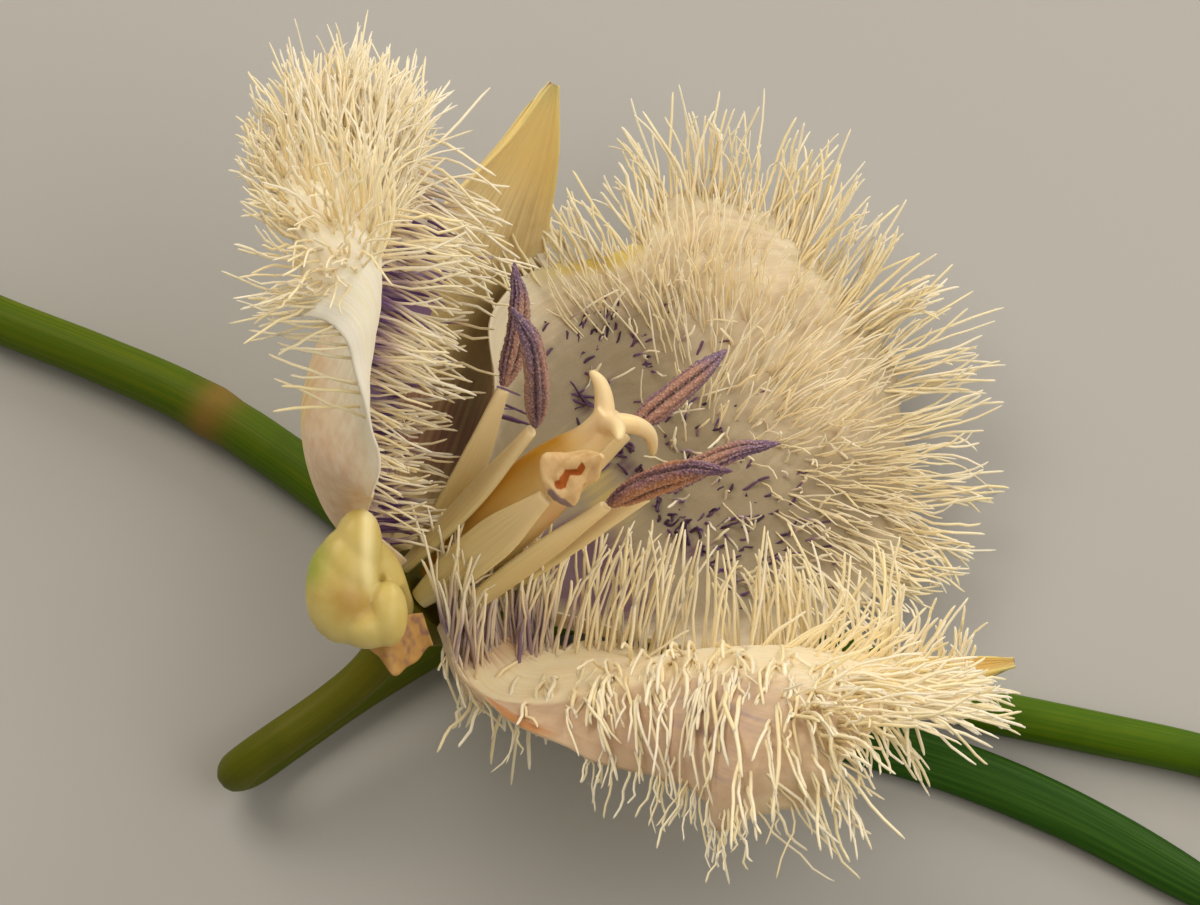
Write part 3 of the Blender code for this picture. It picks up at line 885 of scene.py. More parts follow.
def hairLook():
    # plant hairs: clear cells full of sap, waxy outside, so they gleam and pass light on
    made, tree, shader = startMaterial("waxy petal hair", 0.45, 1.38, **flesh(0.6, 0.16, 0.14, 0.11))
    part = channels(tree, "tint")
    cream = addNode(
        tree, "MixRGB", {"Color1": linear("#fff5df"), "Color2": linear("#fae7bd")},
        {"Fac": part.outputs["Y"]},
    )
    length = addNode(
        tree, "MapRange", {"From Min": 0.0, "From Max": 0.45}, {"Value": part.outputs["Z"]},
    )
    paleTip = addNode(
        tree, "MixRGB", {"Color1": linear("#f6e4be")},
        {"Fac": length.outputs["Result"], "Color2": cream.outputs["Color"]},
    )
    fade = addNode(
        tree, "MapRange", {"From Min": 0.3, "From Max": 0.75, "To Min": 1.0, "To Max": 0.0},
        {"Value": part.outputs["Z"]}, interpolation_type="SMOOTHSTEP",
    )
    stain = addNode(
        tree, "Math", links={0: fade.outputs["Result"], 1: part.outputs["X"]}, operation="MULTIPLY",
    )
    final = addNode(
        tree, "MixRGB", {"Color2": linear("#6b4d84")},
        {"Fac": stain.outputs["Value"], "Color1": paleTip.outputs["Color"]},
    )
    finishLook(tree, shader, final.outputs["Color"])
    return made


def bristleLook():
    # short bristles full of violet sap: nearly black where they are thick
    made, tree, shader = startMaterial("dark violet bristle", 0.4)
    part = channels(tree, "tint")
    mix = addNode(
        tree, "MixRGB", {"Color1": linear("#3d2748"), "Color2": linear("#6a4a72")},
        {"Fac": part.outputs["Y"]},
    )
    finishLook(tree, shader, mix.outputs["Color"])
    return made


def makePetals():
    hair, bristle = hairLook(), bristleLook()
    for seed, (name, shape) in enumerate(petals.items()):
        blade = Blade(shape)
        place = petalPlace(blade, seed)
        sheet, u, v, sides = makeSheet(
            name, petalSheet["columns"], petalSheet["rows"], place, petalSheet["thickness"] * mm, 0.35,
        )
        paintSheet(sheet, u, v, sides, petalPaint[name], outsidePaint)
        finishPiece(sheet, petalLook("petal skin of " + name, petalColours[name]), "petal", shape["node"])
        for number, field in enumerate(hairFields[name]):
            piece = growHairs(field["name"], blade, place, field, 100 * seed + number)
            finishPiece(piece, bristle if "bristle" in field["name"] else hair, "petal")
        print(name, "is made")


makePetals()

# ---- sepals

sepals = {
    "sepalTop": {
        "node": "sepal_top",
        "turn": 50,
        "midrib": [(2.0, -0.5), (5.6, -0.4), (8.9, 2.3), (10.9, 5.6), (12.2, 8.5), (13.5, 10.8)],
        "lowWidths": [1.0, 3.9, 5.2, 4.6, 2.4, 0.15],
        "highWidths": [1.0, 2.2, 2.6, 2.2, 1.3, 0.15],
        "lowCup": [20, 0, -15, -10, 10, 40],
        "lowRoll": [0, 0, 0, 0, 0, 0],
        "highCup": [20, 10, 5, 10, 30, 40],
        "highRoll": [0, 0, 0, 0, 0, 0],
        "cadThickness": 0.40,
    },
    "sepalRight": {
        "node": "sepal_right",
        "turn": -60,
        "midrib": [(2.0, -0.5), (6.0, -0.2), (9.6, 2.1), (12.4, 5.3), (14.5, 8.4), (16.0, 10.9)],
        "lowWidths": [1.0, 2.1, 2.5, 2.2, 1.2, 0.15],
        "highWidths": [1.0, 1.9, 2.3, 2.1, 1.2, 0.15],
        "lowCup": [20, 30, 40, 40, 50, 60],
        "lowRoll": [0, 0, 0, 0, 0, 0],
        "highCup": [20, 20, 20, 30, 40, 60],
        "highRoll": [0, 0, 0, 0, 0, 0],
        "cadThickness": 0.40,
    },
}
sepalSheet = {"columns": 40, "rows": 72, "thickness": 0.32}
sepalPaint = {
    "sepalTop": {
        "violet": lambda u, v: 0.55 * bump(v, 0.24, 0.14),
        "yellow": lambda u, v: 0.65 * ease(v, 0.5, 0.8),
        # tan: the sepal's own tan base, deepened with painted shade, and a painted shade over the low side's
        # lower right
        "tan": lambda u, v: 0.8 * (1 - ease(v, 0.35, 0.75)) + 0.4 * ease(-u, 0.1, 0.8),
    },
    "sepalRight": {
        "violet": lambda u, v: 0 * u,
        "yellow": lambda u, v: 0.5 + 0 * u,
        "tan": lambda u, v: 0.9 * ease(v, 0.6, 0.95),
    },
}
sepalColours = {
    "sepalTop": {
        # tan here is partly painted shade
        "body": "#d8c288", "streak": "#f0e3b4", "tan": "#b09c68",
        "yellow": "#e6cb7e", "violet": "#7a3f4c",
    },
    "sepalRight": {
        "body": "#e5d38a", "streak": "#f0e3a8", "tan": "#c98f4e",
        "yellow": "#e9cf78", "violet": "#7a3f4c",
    },
}
sepalOutside = {
    "violet": lambda u, v: 0 * u,
    "yellow": lambda u, v: 0.6 + 0 * u,
    "tan": lambda u, v: 0.3 * ease(v, 0.7, 1.0),
}


def makeSepals():
    for seed, (name, shape) in enumerate(sepals.items()):
        blade = Blade(shape)
        phase = np.random.RandomState(40 + seed).uniform(0, 6.28, 3)

        def place(u, v):
            inward = blade.directions(u, v)[2]
            lines = 0.012 * np.sin(u * 24 + phase[0]) + 0.008 * np.sin(u * 41 + phase[1])
            ripple = 0.05 * np.abs(u) ** 3 * np.sin(v * 19 + phase[2])
            return blade.at(u, v) + inward * (lines + ripple)[:, None] * mm

        sheet, u, v, sides = makeSheet(
            name, sepalSheet["columns"], sepalSheet["rows"], place, sepalSheet["thickness"] * mm, 0.35,
        )
        paintSheet(sheet, u, v, sides, sepalPaint[name], sepalOutside)
        finishPiece(sheet, petalLook("sepal skin of " + name, sepalColours[name]), "sepal", shape["node"])
        print(name, "is made")


makeSepals()

# The near sepal is shrunk back to a fleshy, folded knob over a papery scale. Its lobes are
# (middle, radii) in mm, all turned by the tilt in degrees.
nearSepal = {
    "tilt": 24,
    "lobes": [
        ((-7.85, -4.30, 12.10), (1.15, 1.70, 1.00)),
        ((-7.60, -3.65, 12.45), (1.00, 1.30, 0.95)),
        ((-7.30, -3.05, 12.75), (0.80, 1.20, 0.85)),
        ((-6.35, -5.00, 11.90), (0.66, 1.05, 0.80)),
        ((-7.00, -5.35, 11.70), (0.95, 0.70, 0.75)),
    ],
    "voxel": 0.06,
    "neck": [(1.5, -0.3), (2.5, 0.3), (3.7, 1.1), (4.8, 1.7), (5.4, 1.6)],      # out and up from the foot
    "neckTurn": 162,
    "neckWidths": [0.75, 0.8, 0.85, 0.9, 0.8],
    "neckFlatness": 0.45,
    "smoothing": 22,
    "scale": {"from": [(-7.8, -4.9, 11.8), (-7.0, -5.0, 11.6), (-6.2, -4.9, 11.4), (-5.3, -4.6, 11.0)],
              "to": [(-7.7, -5.4, 11.5), (-6.9, -6.1, 10.9), (-5.9, -6.4, 10.5), (-4.9, -5.7, 10.1)]},
}


def fleshyLook():
    # plump sepal: pale green-cream flesh under a moist skin, greener on one shoulder, ochre and painted shade
    # in the dent, and a painted highlight on the upper rim
    made, tree, shader = startMaterial("fleshy sepal", 0.36, 1.4, **flesh(0.45, 0.6, 0.5, 0.2))
    place = addNode(tree, "TexCoord")
    part = channels(tree, "paint")
    cloud = addNode(
        tree, "TexNoise", {"Scale": 1 / (0.7 * mm), "Detail": 4.0}, {"Vector": place.outputs["Object"]},
    )
    cells = addNode(
        tree, "TexNoise", {"Scale": 1 / (0.1 * mm), "Detail": 2.0}, {"Vector": place.outputs["Object"]},
    )
    body = addNode(
        tree, "MixRGB", {"Color1": linear("#d3c684"), "Color2": linear("#c8b362")},
        {"Fac": cloud.outputs["Fac"]},
    )
    # X is the sepal's own green, Y ochre with painted shade in the dent, Z a painted highlight on the upper
    # rim
    for channel, colour in (("X", "#93a53a"), ("Y", "#a87a2c"), ("Z", "#f0e6b0")):
        body = stainShadeOrLightOver(
            tree, body, colour, part.outputs[channel], cloud.outputs["Fac"], 0.5, 0.1, 0.95, 0.85,
        )
    finishLook(tree, shader, body.outputs["Color"], cells.outputs["Fac"])
    return made


def paperyLook():
    # dead sepal edge: dry, curled and brown, spotted violet
    made, tree, shader = startMaterial("papery scale", 0.6)
    place = addNode(tree, "TexCoord")
    cloud = addNode(
        tree, "TexNoise", {"Scale": 1 / (0.3 * mm), "Detail": 4.0}, {"Vector": place.outputs["Object"]},
    )
    spots = addNode(
        tree, "TexNoise", {"Scale": 1 / (0.4 * mm), "Detail": 1.0}, {"Vector": place.outputs["Object"]},
    )
    body = addNode(
        tree, "MixRGB", {"Color1": linear("#cda560"), "Color2": linear("#9a6c3a")},
        {"Fac": cloud.outputs["Fac"]},
    )
    cut = addNode(
        tree, "MapRange", {"From Min": 0.54, "From Max": 0.7, "To Max": 0.7},
        {"Value": spots.outputs["Fac"]},
    )
    spotted = addNode(
        tree, "MixRGB", {"Color2": linear("#75505e")},
        {"Fac": cut.outputs["Result"], "Color1": body.outputs["Color"]},
    )
    finishLook(tree, shader, spotted.outputs["Color"], cloud.outputs["Fac"], 0.5, 0.04)
    return made


def makeNearSepal():
    bpy.ops.object.select_all(action="DESELECT")
    lobes = []
    for middle, radii in nearSepal["lobes"]:
        bpy.ops.mesh.primitive_uv_sphere_add(
            segments=32, ring_count=20, radius=1, location=Vector(middle) * mm, scale=Vector(radii) * mm,
            rotation=(math.radians(nearSepal["tilt"]), 0, 0),
        )
        lobes.append(bpy.context.object)
    for lobe in lobes:
        lobe.select_set(True)
    bpy.ops.object.transform_apply(location=True, rotation=True, scale=True)
    turn = nearSepal["neckTurn"]
    frames = along(partTurned(smooth(nearSepal["neck"], np.linspace(0, 1, 9)), turn), sideOf(turn))

    def placeNeck(angle, t):
        middles, _, across, up = onCurve(frames, t)
        wide = smooth(nearSepal["neckWidths"], t)
        flat = ovalOf(across, up, wide, nearSepal["neckFlatness"] * wide, angle)
        return aboutAxis(middles + flat, 0) + np.array(flowerStance["foot"]) * mm

    lobes.append(makeRod("neck", 28, 30, placeNeck)[0])
    knob = fusePieces(lobes, nearSepal["voxel"] * mm, nearSepal["smoothing"])
    knob.name = knob.data.name = "sepalNear"
    points = readPoints(knob.data) / mm
    lump = np.sin(points @ [1.9, 0.8, 1.1]) * 0.03 + np.sin(points @ [3.1, -2.7, 1.3]) * 0.015
    normals = np.empty(len(points) * 3, np.float32)
    knob.data.vertices.foreach_get("normal", normals)
    writePoints(knob.data, (points + normals.reshape(-1, 3) * lump[:, None]) * mm)
    x, y = points[:, 0], points[:, 1]
    green = bump(x, -8.8, 0.6) * ease(y, -5.0, -3.8)
    # ochre in the dent: partly the sepal's own tint, partly painted shade in the hollow
    dentOchreAndShade = 0.75 * bump(x, -7.5, 0.8) * bump(y, -4.9, 0.6)
    # a pale band along the upper rim: painted highlight
    rim = bump(x, -6.95, 0.22) * ease(y, -4.9, -4.2)
    writeField(knob.data, "paint", np.stack([green, dentOchreAndShade, rim], axis=1))
    finishPiece(knob, fleshyLook(), "sepal", "sepal_near")

    def place(u, v):
        upper, lower = (smooth(nearSepal["scale"][key], (u + 1) / 2) for key in ("from", "to"))
        curl = 0.16 * np.sin(u * 5 + 1) * v + 0.05 * np.sin(u * 13) * v**2
        v = v * (0.9 + 0.1 * np.sin(u * 4 + 0.6)) * (1 + 0.04 * np.sin(u * 11))
        points = upper * (1 - v)[:, None] + lower * v[:, None]
        points[:, 1:] += np.stack([-curl, curl], axis=1)
        return points * mm

    flake, *_ = makeSheet("sepalNearScale", 40, 20, place, 0.12 * mm, 0.3)
    finishPiece(flake, paperyLook(), "sepal")
    print("near sepal is made")


makeNearSepal()

# ---- stamens

stamens = [
    {"turn": 60, "foot": (4.17, 5.66), "tip": (7.31, 8.17), "halfWidth": 0.5},
    {"turn": 120, "foot": (2.36, 7.07), "tip": (5.93, 10.07), "halfWidth": 0.68},
    {"turn": 0, "foot": (3.3, 7.6), "tip": (6.5, 10.64), "halfWidth": 0.46},
    {"turn": -120, "foot": (1.7, 7.33), "tip": (3.25, 11.84), "halfWidth": 0.64},
    {"turn": -60, "foot": (2.27, 7.76), "tip": (3.76, 12.05), "halfWidth": 0.5},
    {"turn": 180, "foot": (2.0, 6.43), "tip": (2.4, 8.9), "halfWidth": 0.8},
]
filament = {"foot": (1.35, 0.25), "widths": [0.34, 0.58, 0.70, 0.66, 0.46, 0.26], "thickness": 0.21}
anther = {
    "outline": [0.3, 0.78, 0.98, 1.0, 0.97, 0.88, 0.7, 0.42, 0.1], "flatness": 0.62,
    "grooves": [(90, 11, 0.5), (-90, 11, 0.5), (35, 9, 0.22), (145, 9, 0.22), (0, 14, 0.3), (180, 14, 0.3)],
    "grain": 0.026, "sides": 60, "rings": 96,
}
witheredAnther = {"outline": [0.5, 0.95, 1.0, 0.86, 0.72, 0.62, 0.5, 0.34, 0.12], "lumps": 0.2}


def seatRod(piece, node):
    points = readPoints(piece.data)
    writePoints(piece.data, points + seatOn(points, node))


def grooveDepth(angle, t):
    # the long seams between an anther's pollen sacs
    depth = t * 0
    for turn, width, deep in anther["grooves"]:
        off = (np.degrees(angle) - turn + 10 * np.sin(t * 5) + 180) % 360 - 180
        depth = np.maximum(depth, deep * bump(off, 0, width))
    return depth * ease(t, 0.02, 0.15) * (1 - ease(t, 0.85, 0.98))


def slitDepth(angle, t):
    # the zigzag split of the withered anther
    zigzag = -math.pi / 2 + 0.35 * (np.abs((t * 7) % 2 - 1) - 0.5)
    return bump(angle, zigzag, 0.3) * ease(t, 0.12, 0.22) * (1 - ease(t, 0.68, 0.78))


def pollenLook(name, low, high):
    # ripe anther: open pollen sacs with a dry, grainy coat, redder low down and violet at the tip. The
    # grains are drawn at 0.1 mm, coarser than real pollen, so that they show
    made, tree, shader = startMaterial(name, 0.8, 1.45, **{"Sheen Weight": 0.2})
    place = addNode(tree, "TexCoord")
    part = channels(tree, "paint")
    grains = addNode(
        tree, "TexVoronoi", {"Scale": 1 / (0.10 * mm)}, {"Vector": place.outputs["Object"]},
    )
    cloud = addNode(
        tree, "TexNoise", {"Scale": 1 / (0.35 * mm), "Detail": 3.0}, {"Vector": place.outputs["Object"]},
    )
    tipward = addNode(
        tree, "Math", {1: 0.5}, {0: cloud.outputs["Fac"], 2: part.outputs["Y"]}, operation="MULTIPLY_ADD",
    )
    rise = addNode(
        tree, "MapRange", {"From Min": 0.4, "From Max": 1.05}, {"Value": tipward.outputs["Value"]},
    )
    hue = addNode(
        tree, "MixRGB", {"Color1": linear(low), "Color2": linear(high)}, {"Fac": rise.outputs["Result"]},
    )
    # X darkens the seams between the sacs: painted shade in the grooves
    deep = addNode(
        tree, "MixRGB", {"Color2": linear("#4e3338")},
        {"Fac": part.outputs["X"], "Color1": hue.outputs["Color"]},
    )
    # a pale spot in each grain's middle: painted glint
    paintedGlint = addNode(
        tree, "MapRange", {"From Min": 0.05, "From Max": 0.5, "To Min": 0.6, "To Max": 0.0},
        {"Value": grains.outputs["Distance"]},
    )
    final = addNode(
        tree, "MixRGB", {"Color2": linear("#e0bcaa")},
        {"Fac": paintedGlint.outputs["Result"], "Color1": deep.outputs["Color"]},
    )
    finishLook(tree, shader, final.outputs["Color"], grains.outputs["Distance"], 1.0, 0.06, invert=True)
    return made


def tissueLook(name, low, high, warm):
    # fresh plant tissue: smooth, moist skin over pale flesh that light goes into
    made, tree, shader = startMaterial(name, 0.4, 1.42, **flesh(0.35, 0.5, 0.4, 0.2))
    place = addNode(tree, "TexCoord")
    lie = addNode(tree, "Attribute", attribute_name="lie")
    part = addNode(tree, "SeparateXYZ", links={"Vector": lie.outputs["Vector"]})
    stretch = addNode(tree, "Mapping", {"Scale": (3.5, 3.5, 1.2)}, {"Vector": lie.outputs["Vector"]})
    lines = addNode(tree, "TexNoise", {"Scale": 2.0, "Detail": 4.0}, {"Vector": stretch.outputs["Vector"]})
    cells = addNode(
        tree, "TexNoise", {"Scale": 1 / (0.1 * mm), "Detail": 2.0}, {"Vector": place.outputs["Object"]},
    )
    base = addNode(
        tree, "MixRGB", {"Color1": linear(low), "Color2": linear(high)}, {"Fac": part.outputs["Z"]},
    )
    tone = addNode(
        tree, "MapRange", {"From Min": 0.3, "From Max": 0.8, "To Max": 0.7},
        {"Value": lines.outputs["Fac"]},
    )
    body = addNode(
        tree, "MixRGB", {"Color2": linear(warm)},
        {"Fac": tone.outputs["Result"], "Color1": base.outputs["Color"]},
    )
    finishLook(tree, shader, body.outputs["Color"], cells.outputs["Fac"])
    return made


def witheredLook():
    # a sac that dried before it opened: waxy and cream, split by a rusty seam, with a violet-grey painted
    # shade on one side of its foot
    made, tree, shader = startMaterial("dried anther", 0.5, 1.42, **flesh(0.3, 0.4, 0.3, 0.15))
    place = addNode(tree, "TexCoord")
    part = channels(tree, "paint")
    blotch = addNode(
        tree, "TexNoise", {"Scale": 1 / (0.35 * mm), "Detail": 4.0}, {"Vector": place.outputs["Object"]},
    )
    body = addNode(
        tree, "MixRGB", {"Color1": linear("#efd7ab"), "Color2": linear("#d2aa72")},
        {"Fac": blotch.outputs["Fac"]},
    )
    # Y is a painted shade near the foot, X the rusty slit
    for channel, colour in (("Y", "#94808a"), ("X", "#b05a16")):
        body = stainShadeOrLightOver(tree, body, colour, part.outputs[channel], blotch.outputs["Fac"], 0.7, 0.45, 0.62)
    finishLook(tree, shader, body.outputs["Color"], blotch.outputs["Fac"], 0.4, 0.04)
    return made


def makeStamens():
    filamentSkin = tissueLook("moist filament", "#c6b972", "#e4d0a4", "#eadab4")
    pollen = pollenLook("pollen-coated anther", "#ab7f70", "#7d6488")
    russet = pollenLook("russet pollen coat", "#b47a56", "#7c5c80")
    dried = witheredLook()
    for number, shape in enumerate(stamens, 1):
        rng = np.random.RandomState(60 + number)
        foot, tip, start = np.array(shape["foot"]), np.array(shape["tip"]), np.array(filament["foot"])
        middle = start + (foot - start) * [0.42, 0.55]
        gap = (tip - foot) / np.linalg.norm(tip - foot) * 0.1
        path = partTurned(smooth([start, middle, foot - gap], np.linspace(0, 1, 7)), shape["turn"])
        frames = along(path, sideOf(shape["turn"]))

        def placeFilament(angle, t):
            middles, _, across, up = onCurve(frames, t)
            wide = smooth(filament["widths"], t)
            thick = filament["thickness"] * (0.75 + 0.25 * smooth(filament["widths"], t) / 0.66)
            return aboutAxis(middles + ovalOf(across, up, wide, thick, angle), 0)

        piece, _, _ = makeRod(f"filament{number}", 20, 28, placeFilament)
        seatRod(piece, f"filament_{number}")
        roundEnds(piece, 0.03 * mm)
        finishPiece(piece, filamentSkin, "filament", f"filament_{number}")

        steps = np.linspace(0, 1, len(anther["outline"]))
        bow = np.array([-(tip - foot)[1], (tip - foot)[0]]) * 0.05
        hook = np.sin(math.pi * steps) - 1.2 * ease(steps, 0.7, 1.0)
        body = foot + (tip - foot) * steps[:, None] + bow * hook[:, None]
        frames = along(partTurned(body, shape["turn"]), sideOf(shape["turn"]))
        withered = number == 6
        shift = rng.uniform(-1, 1, 4)

        def placeAnther(angle, t):
            middles, _, across, up = onCurve(frames, t)
            outline = smooth(witheredAnther["outline"] if withered else anther["outline"], t)
            full = 1 - grooveDepth(angle, t)
            full = full + 0.06 * np.sin(angle * 2 + t * 9 + shift[0] * 3) * np.sin(math.pi * t)
            if withered:
                lobes = np.sin(angle * 3 + 1.1) * np.cos(t * 8 + 0.6) + 0.6 * np.sin(angle * 5 + t * 13)
                full = 1 + witheredAnther["lumps"] * lobes - 0.3 * slitDepth(angle, t)
            wide = outline * shape["halfWidth"] * full
            drift = across * (0.14 * shift[1] * np.sin(t * math.pi * 1.5))[:, None]
            flat = ovalOf(across, up, wide, wide * anther["flatness"], angle)
            grain = rng.normal(0, anther["grain"], len(t)) * (0.3 if withered else 1)
            return aboutAxis(middles + drift + flat * (1 + grain / np.maximum(wide, 0.2))[:, None], 0)

        piece, angle, t = makeRod(f"anther{number}", anther["sides"], anther["rings"], placeAnther)
        seatRod(piece, f"anther_{number}")
        if withered:
            # violet-grey painted shade on one side of the foot
            footShade = bump(t, 0.05, 0.14) * ease(np.cos(angle), -0.6, 0.2)
            writeField(piece.data, "paint", np.stack([slitDepth(angle, t), footShade, t * 0], axis=1))
        else:
            violet = 0.9 * ease(t, 0.55, 0.95) + 0.6 * np.abs(np.cos(angle)) ** 3
            # the seams darkened by their depth: painted shade in the grooves
            seam = np.clip(grooveDepth(angle, t) * 2.2, 0, 1)
            writeField(piece.data, "paint", np.stack([seam, violet, t * 0], axis=1))
        look = dried if withered else russet if number == 4 else pollen
        finishPiece(piece, look, "withered_anther" if withered else "anther", f"anther_{number}")
    print("stamens are made")


makeStamens()

# ---- pistil

pistil = {
    "body": [
        (0.3, 0.6), (1.2, 0.72), (2.6, 0.84), (4.2, 0.95),
        (5.8, 0.92), (7.0, 0.7), (8.0, 0.45), (8.9, 0.5),
    ],
    "wings": 0.3,
    "lean": 0.075,
    "hornTurns": [85, -45, 205],
    "hornPaths": [
        [(0.0, 8.5), (0.6, 9.0), (1.15, 9.25), (1.6, 9.2)],
        [(0.0, 8.5), (0.8, 9.0), (1.7, 8.95), (2.5, 8.3)],
        [(0.0, 8.5), (0.5, 8.95), (1.1, 9.2), (1.6, 9.2)],
    ],
    "hornRadii": [0.38, 0.31, 0.23, 0.11],
    "voxel": 0.05,          # in mm, as it is fused before it is laid on the bench
    "smoothing": 6,
}


def pistilLook():
    # ovary: a smooth three-winged capsule with a yellow and a pink wing, and a cream stigma
    made, tree, shader = startMaterial("smooth ovary", 0.36, 1.42, **flesh(0.4, 0.5, 0.4, 0.2))
    place = addNode(tree, "TexCoord")
    part = channels(tree, "paint")
    cells = addNode(
        tree, "TexNoise", {"Scale": 1 / (0.12 * mm), "Detail": 3.0}, {"Vector": place.outputs["Object"]},
    )
    cloud = addNode(
        tree, "TexNoise", {"Scale": 1 / (0.8 * mm), "Detail": 3.0}, {"Vector": place.outputs["Object"]},
    )
    body = addNode(
        tree, "MixRGB", {"Color1": linear("#ecd89c"), "Color2": linear("#e4c987")},
        {"Fac": cloud.outputs["Fac"]},
    )
    for channel, colour in (("X", "#cf9822"), ("Y", "#dba48a"), ("Z", "#f0dab0")):
        body = addNode(
            tree, "MixRGB", {"Color2": linear(colour)},
            {"Fac": part.outputs[channel], "Color1": body.outputs["Color"]},
        )
    finishLook(tree, shader, body.outputs["Color"], cells.outputs["Fac"], 0.15, 0.02)
    return made


def makePistil():
    heights, radii = np.array(pistil["body"]).T
    read = np.linspace(0, 1, 12)
    up, wide = smooth(heights, read), smooth(radii, read)
    lean = pistil["lean"] * np.maximum(up - 1.0, 0)
    frames = along(np.stack([lean * 0, lean, up], axis=1), (1.0, 0, 0))

    def placeBody(angle, t):
        middles, _, across, upward = onCurve(frames, t)
        ribs = 1 + pistil["wings"] * np.cos(3 * angle)
        size = (smooth(wide, t) * ribs)[:, None]
        return middles + size * (across * np.cos(angle)[:, None] + upward * np.sin(angle)[:, None])

    pieces = [makeRod("pistil", 48, 80, placeBody)[0]]
    for turn, route in zip(pistil["hornTurns"], pistil["hornPaths"]):
        path = partTurned(smooth(route, np.linspace(0, 1, 6)), turn)
        path[:, 1] += pistil["lean"] * 7.9
        hornFrames = along(path, sideOf(turn))

        def placeHorn(angle, t):
            middles, _, across, upward = onCurve(hornFrames, t)
            size = smooth(pistil["hornRadii"], t) * np.sqrt(np.clip(1 - ease(t, 0.9, 1.05), 0.05, 1))
            size = size[:, None]
            return middles + size * (across * np.cos(angle)[:, None] + upward * np.sin(angle)[:, None])

        pieces.append(makeRod("horn", 20, 24, placeHorn)[0])
    piece = fusePieces(pieces, pistil["voxel"], pistil["smoothing"])
    points = readPoints(piece.data)
    leaning = pistil["lean"] * np.maximum(points[:, 2] - 1, 0)
    turn = np.degrees(np.arctan2(points[:, 1] - leaning, points[:, 0]))
    high = ease(points[:, 2], 7.0, 8.4)
    far = np.hypot(points[:, 0], points[:, 1])

    def near(middle, width):
        return bump((turn - middle + 180) % 360 - 180, 0, width)

    yellow = (near(120, 38) * 0.95 + near(0, 40) * 0.5) * (1 - high)
    pink = (near(245, 32) * 0.5 + near(310, 35) * 0.75) * (1 - high) * ease(points[:, 2], 3.5, 5.5)
    writePoints(piece.data, aboutAxis(points, 0))
    seatRod(piece, "pistil")
    cream = high * (0.6 + 0.4 * (far > 0.5))
    writeField(piece.data, "paint", np.clip(np.stack([yellow, pink, cream], axis=1), 0, 1))
    finishPiece(piece, pistilLook(), "pistil", "pistil")
    print("pistil is made")


makePistil()

# ---- stem, branch, flower stalk and bract

stalks = {
    "stem": {
        "path": [
            (-17.3, 13.7, 0.80, 0.78), (-14.9, 12.5, 0.80, 0.79), (-11.4, 11.0, 0.82, 0.81),
            (-8.0, 9.3, 0.86, 0.86), (-4.6, 6.9, 0.86, 0.86), (-2.2, 4.9, 0.88, 0.88),
            (-0.2, 3.2, 0.90, 0.90), (1.0, 2.1, 1.05, 1.05), (1.8, 1.4, 1.10, 1.05), (2.2, 1.05, 1.05, 0.8),
        ],
        "count": 26, "rings": 160, "low": "#4a6006", "high": "#3c6606", "warm": "#6a7408", "slot": "stem",
    },
    "branch": {
        "path": [
            (3.3, 1.55, 0.74, 0.60), (5.5, 1.75, 0.74, 0.72), (9.5, 1.35, 0.74, 0.72),
            (13.4, 0.2, 0.74, 0.72), (17.4, -1.45, 0.74, 0.72), (21.3, -2.4, 0.74, 0.72),
            (25.2, -3.3, 0.73, 0.71), (27.8, -4.3, 0.73, 0.70),
        ],
        "count": 22, "rings": 120, "low": "#476a06", "high": "#3c6004", "warm": "#60740a", "slot": "stem",
    },
    "pedicel": {
        "path": [
            (0.04, 0.02, 6.93, 1.60), (-0.3, -0.15, 6.63, 1.70), (-0.72, -0.38, 6.22, 1.55),
            (-1.1, -0.74, 5.5, 1.0), (-1.5, -1.2, 4.7, 0.70), (-2.3, -1.9, 4.05, 0.63),
            (-3.6, -2.8, 3.5, 0.63), (-5.1, -3.75, 3.1, 0.63), (-6.1, -4.25, 2.45, 0.63),
            (-6.4, -4.25, 1.65, 0.63), (-5.85, -3.7, 0.92, 0.63), (-4.7, -2.7, 0.64, 0.63),
            (-2.6, -1.1, 0.64, 0.63), (-0.6, 0.25, 0.66, 0.64), (0.35, 0.85, 0.72, 0.66),
        ],
        "count": 36, "rings": 200, "low": "#5c560a", "high": "#4a5e08", "warm": "#6a600c",
        "slot": "pedicel",
    },
}
bract = {
    "path": [
        (2.6, 0.1, 0.5), (5.5, -0.7, 0.5), (9.5, -1.5, 0.5), (13.4, -2.45, 0.5), (17.3, -3.7, 0.5),
        (21.2, -5.5, 0.5), (25.0, -7.8, 0.5), (28.0, -9.8, 0.5),
    ],
    "halfWidths": [0.5, 0.8, 0.9, 0.93, 0.93, 0.88, 0.72, 0.08],
    "halfThickness": 0.45,
}


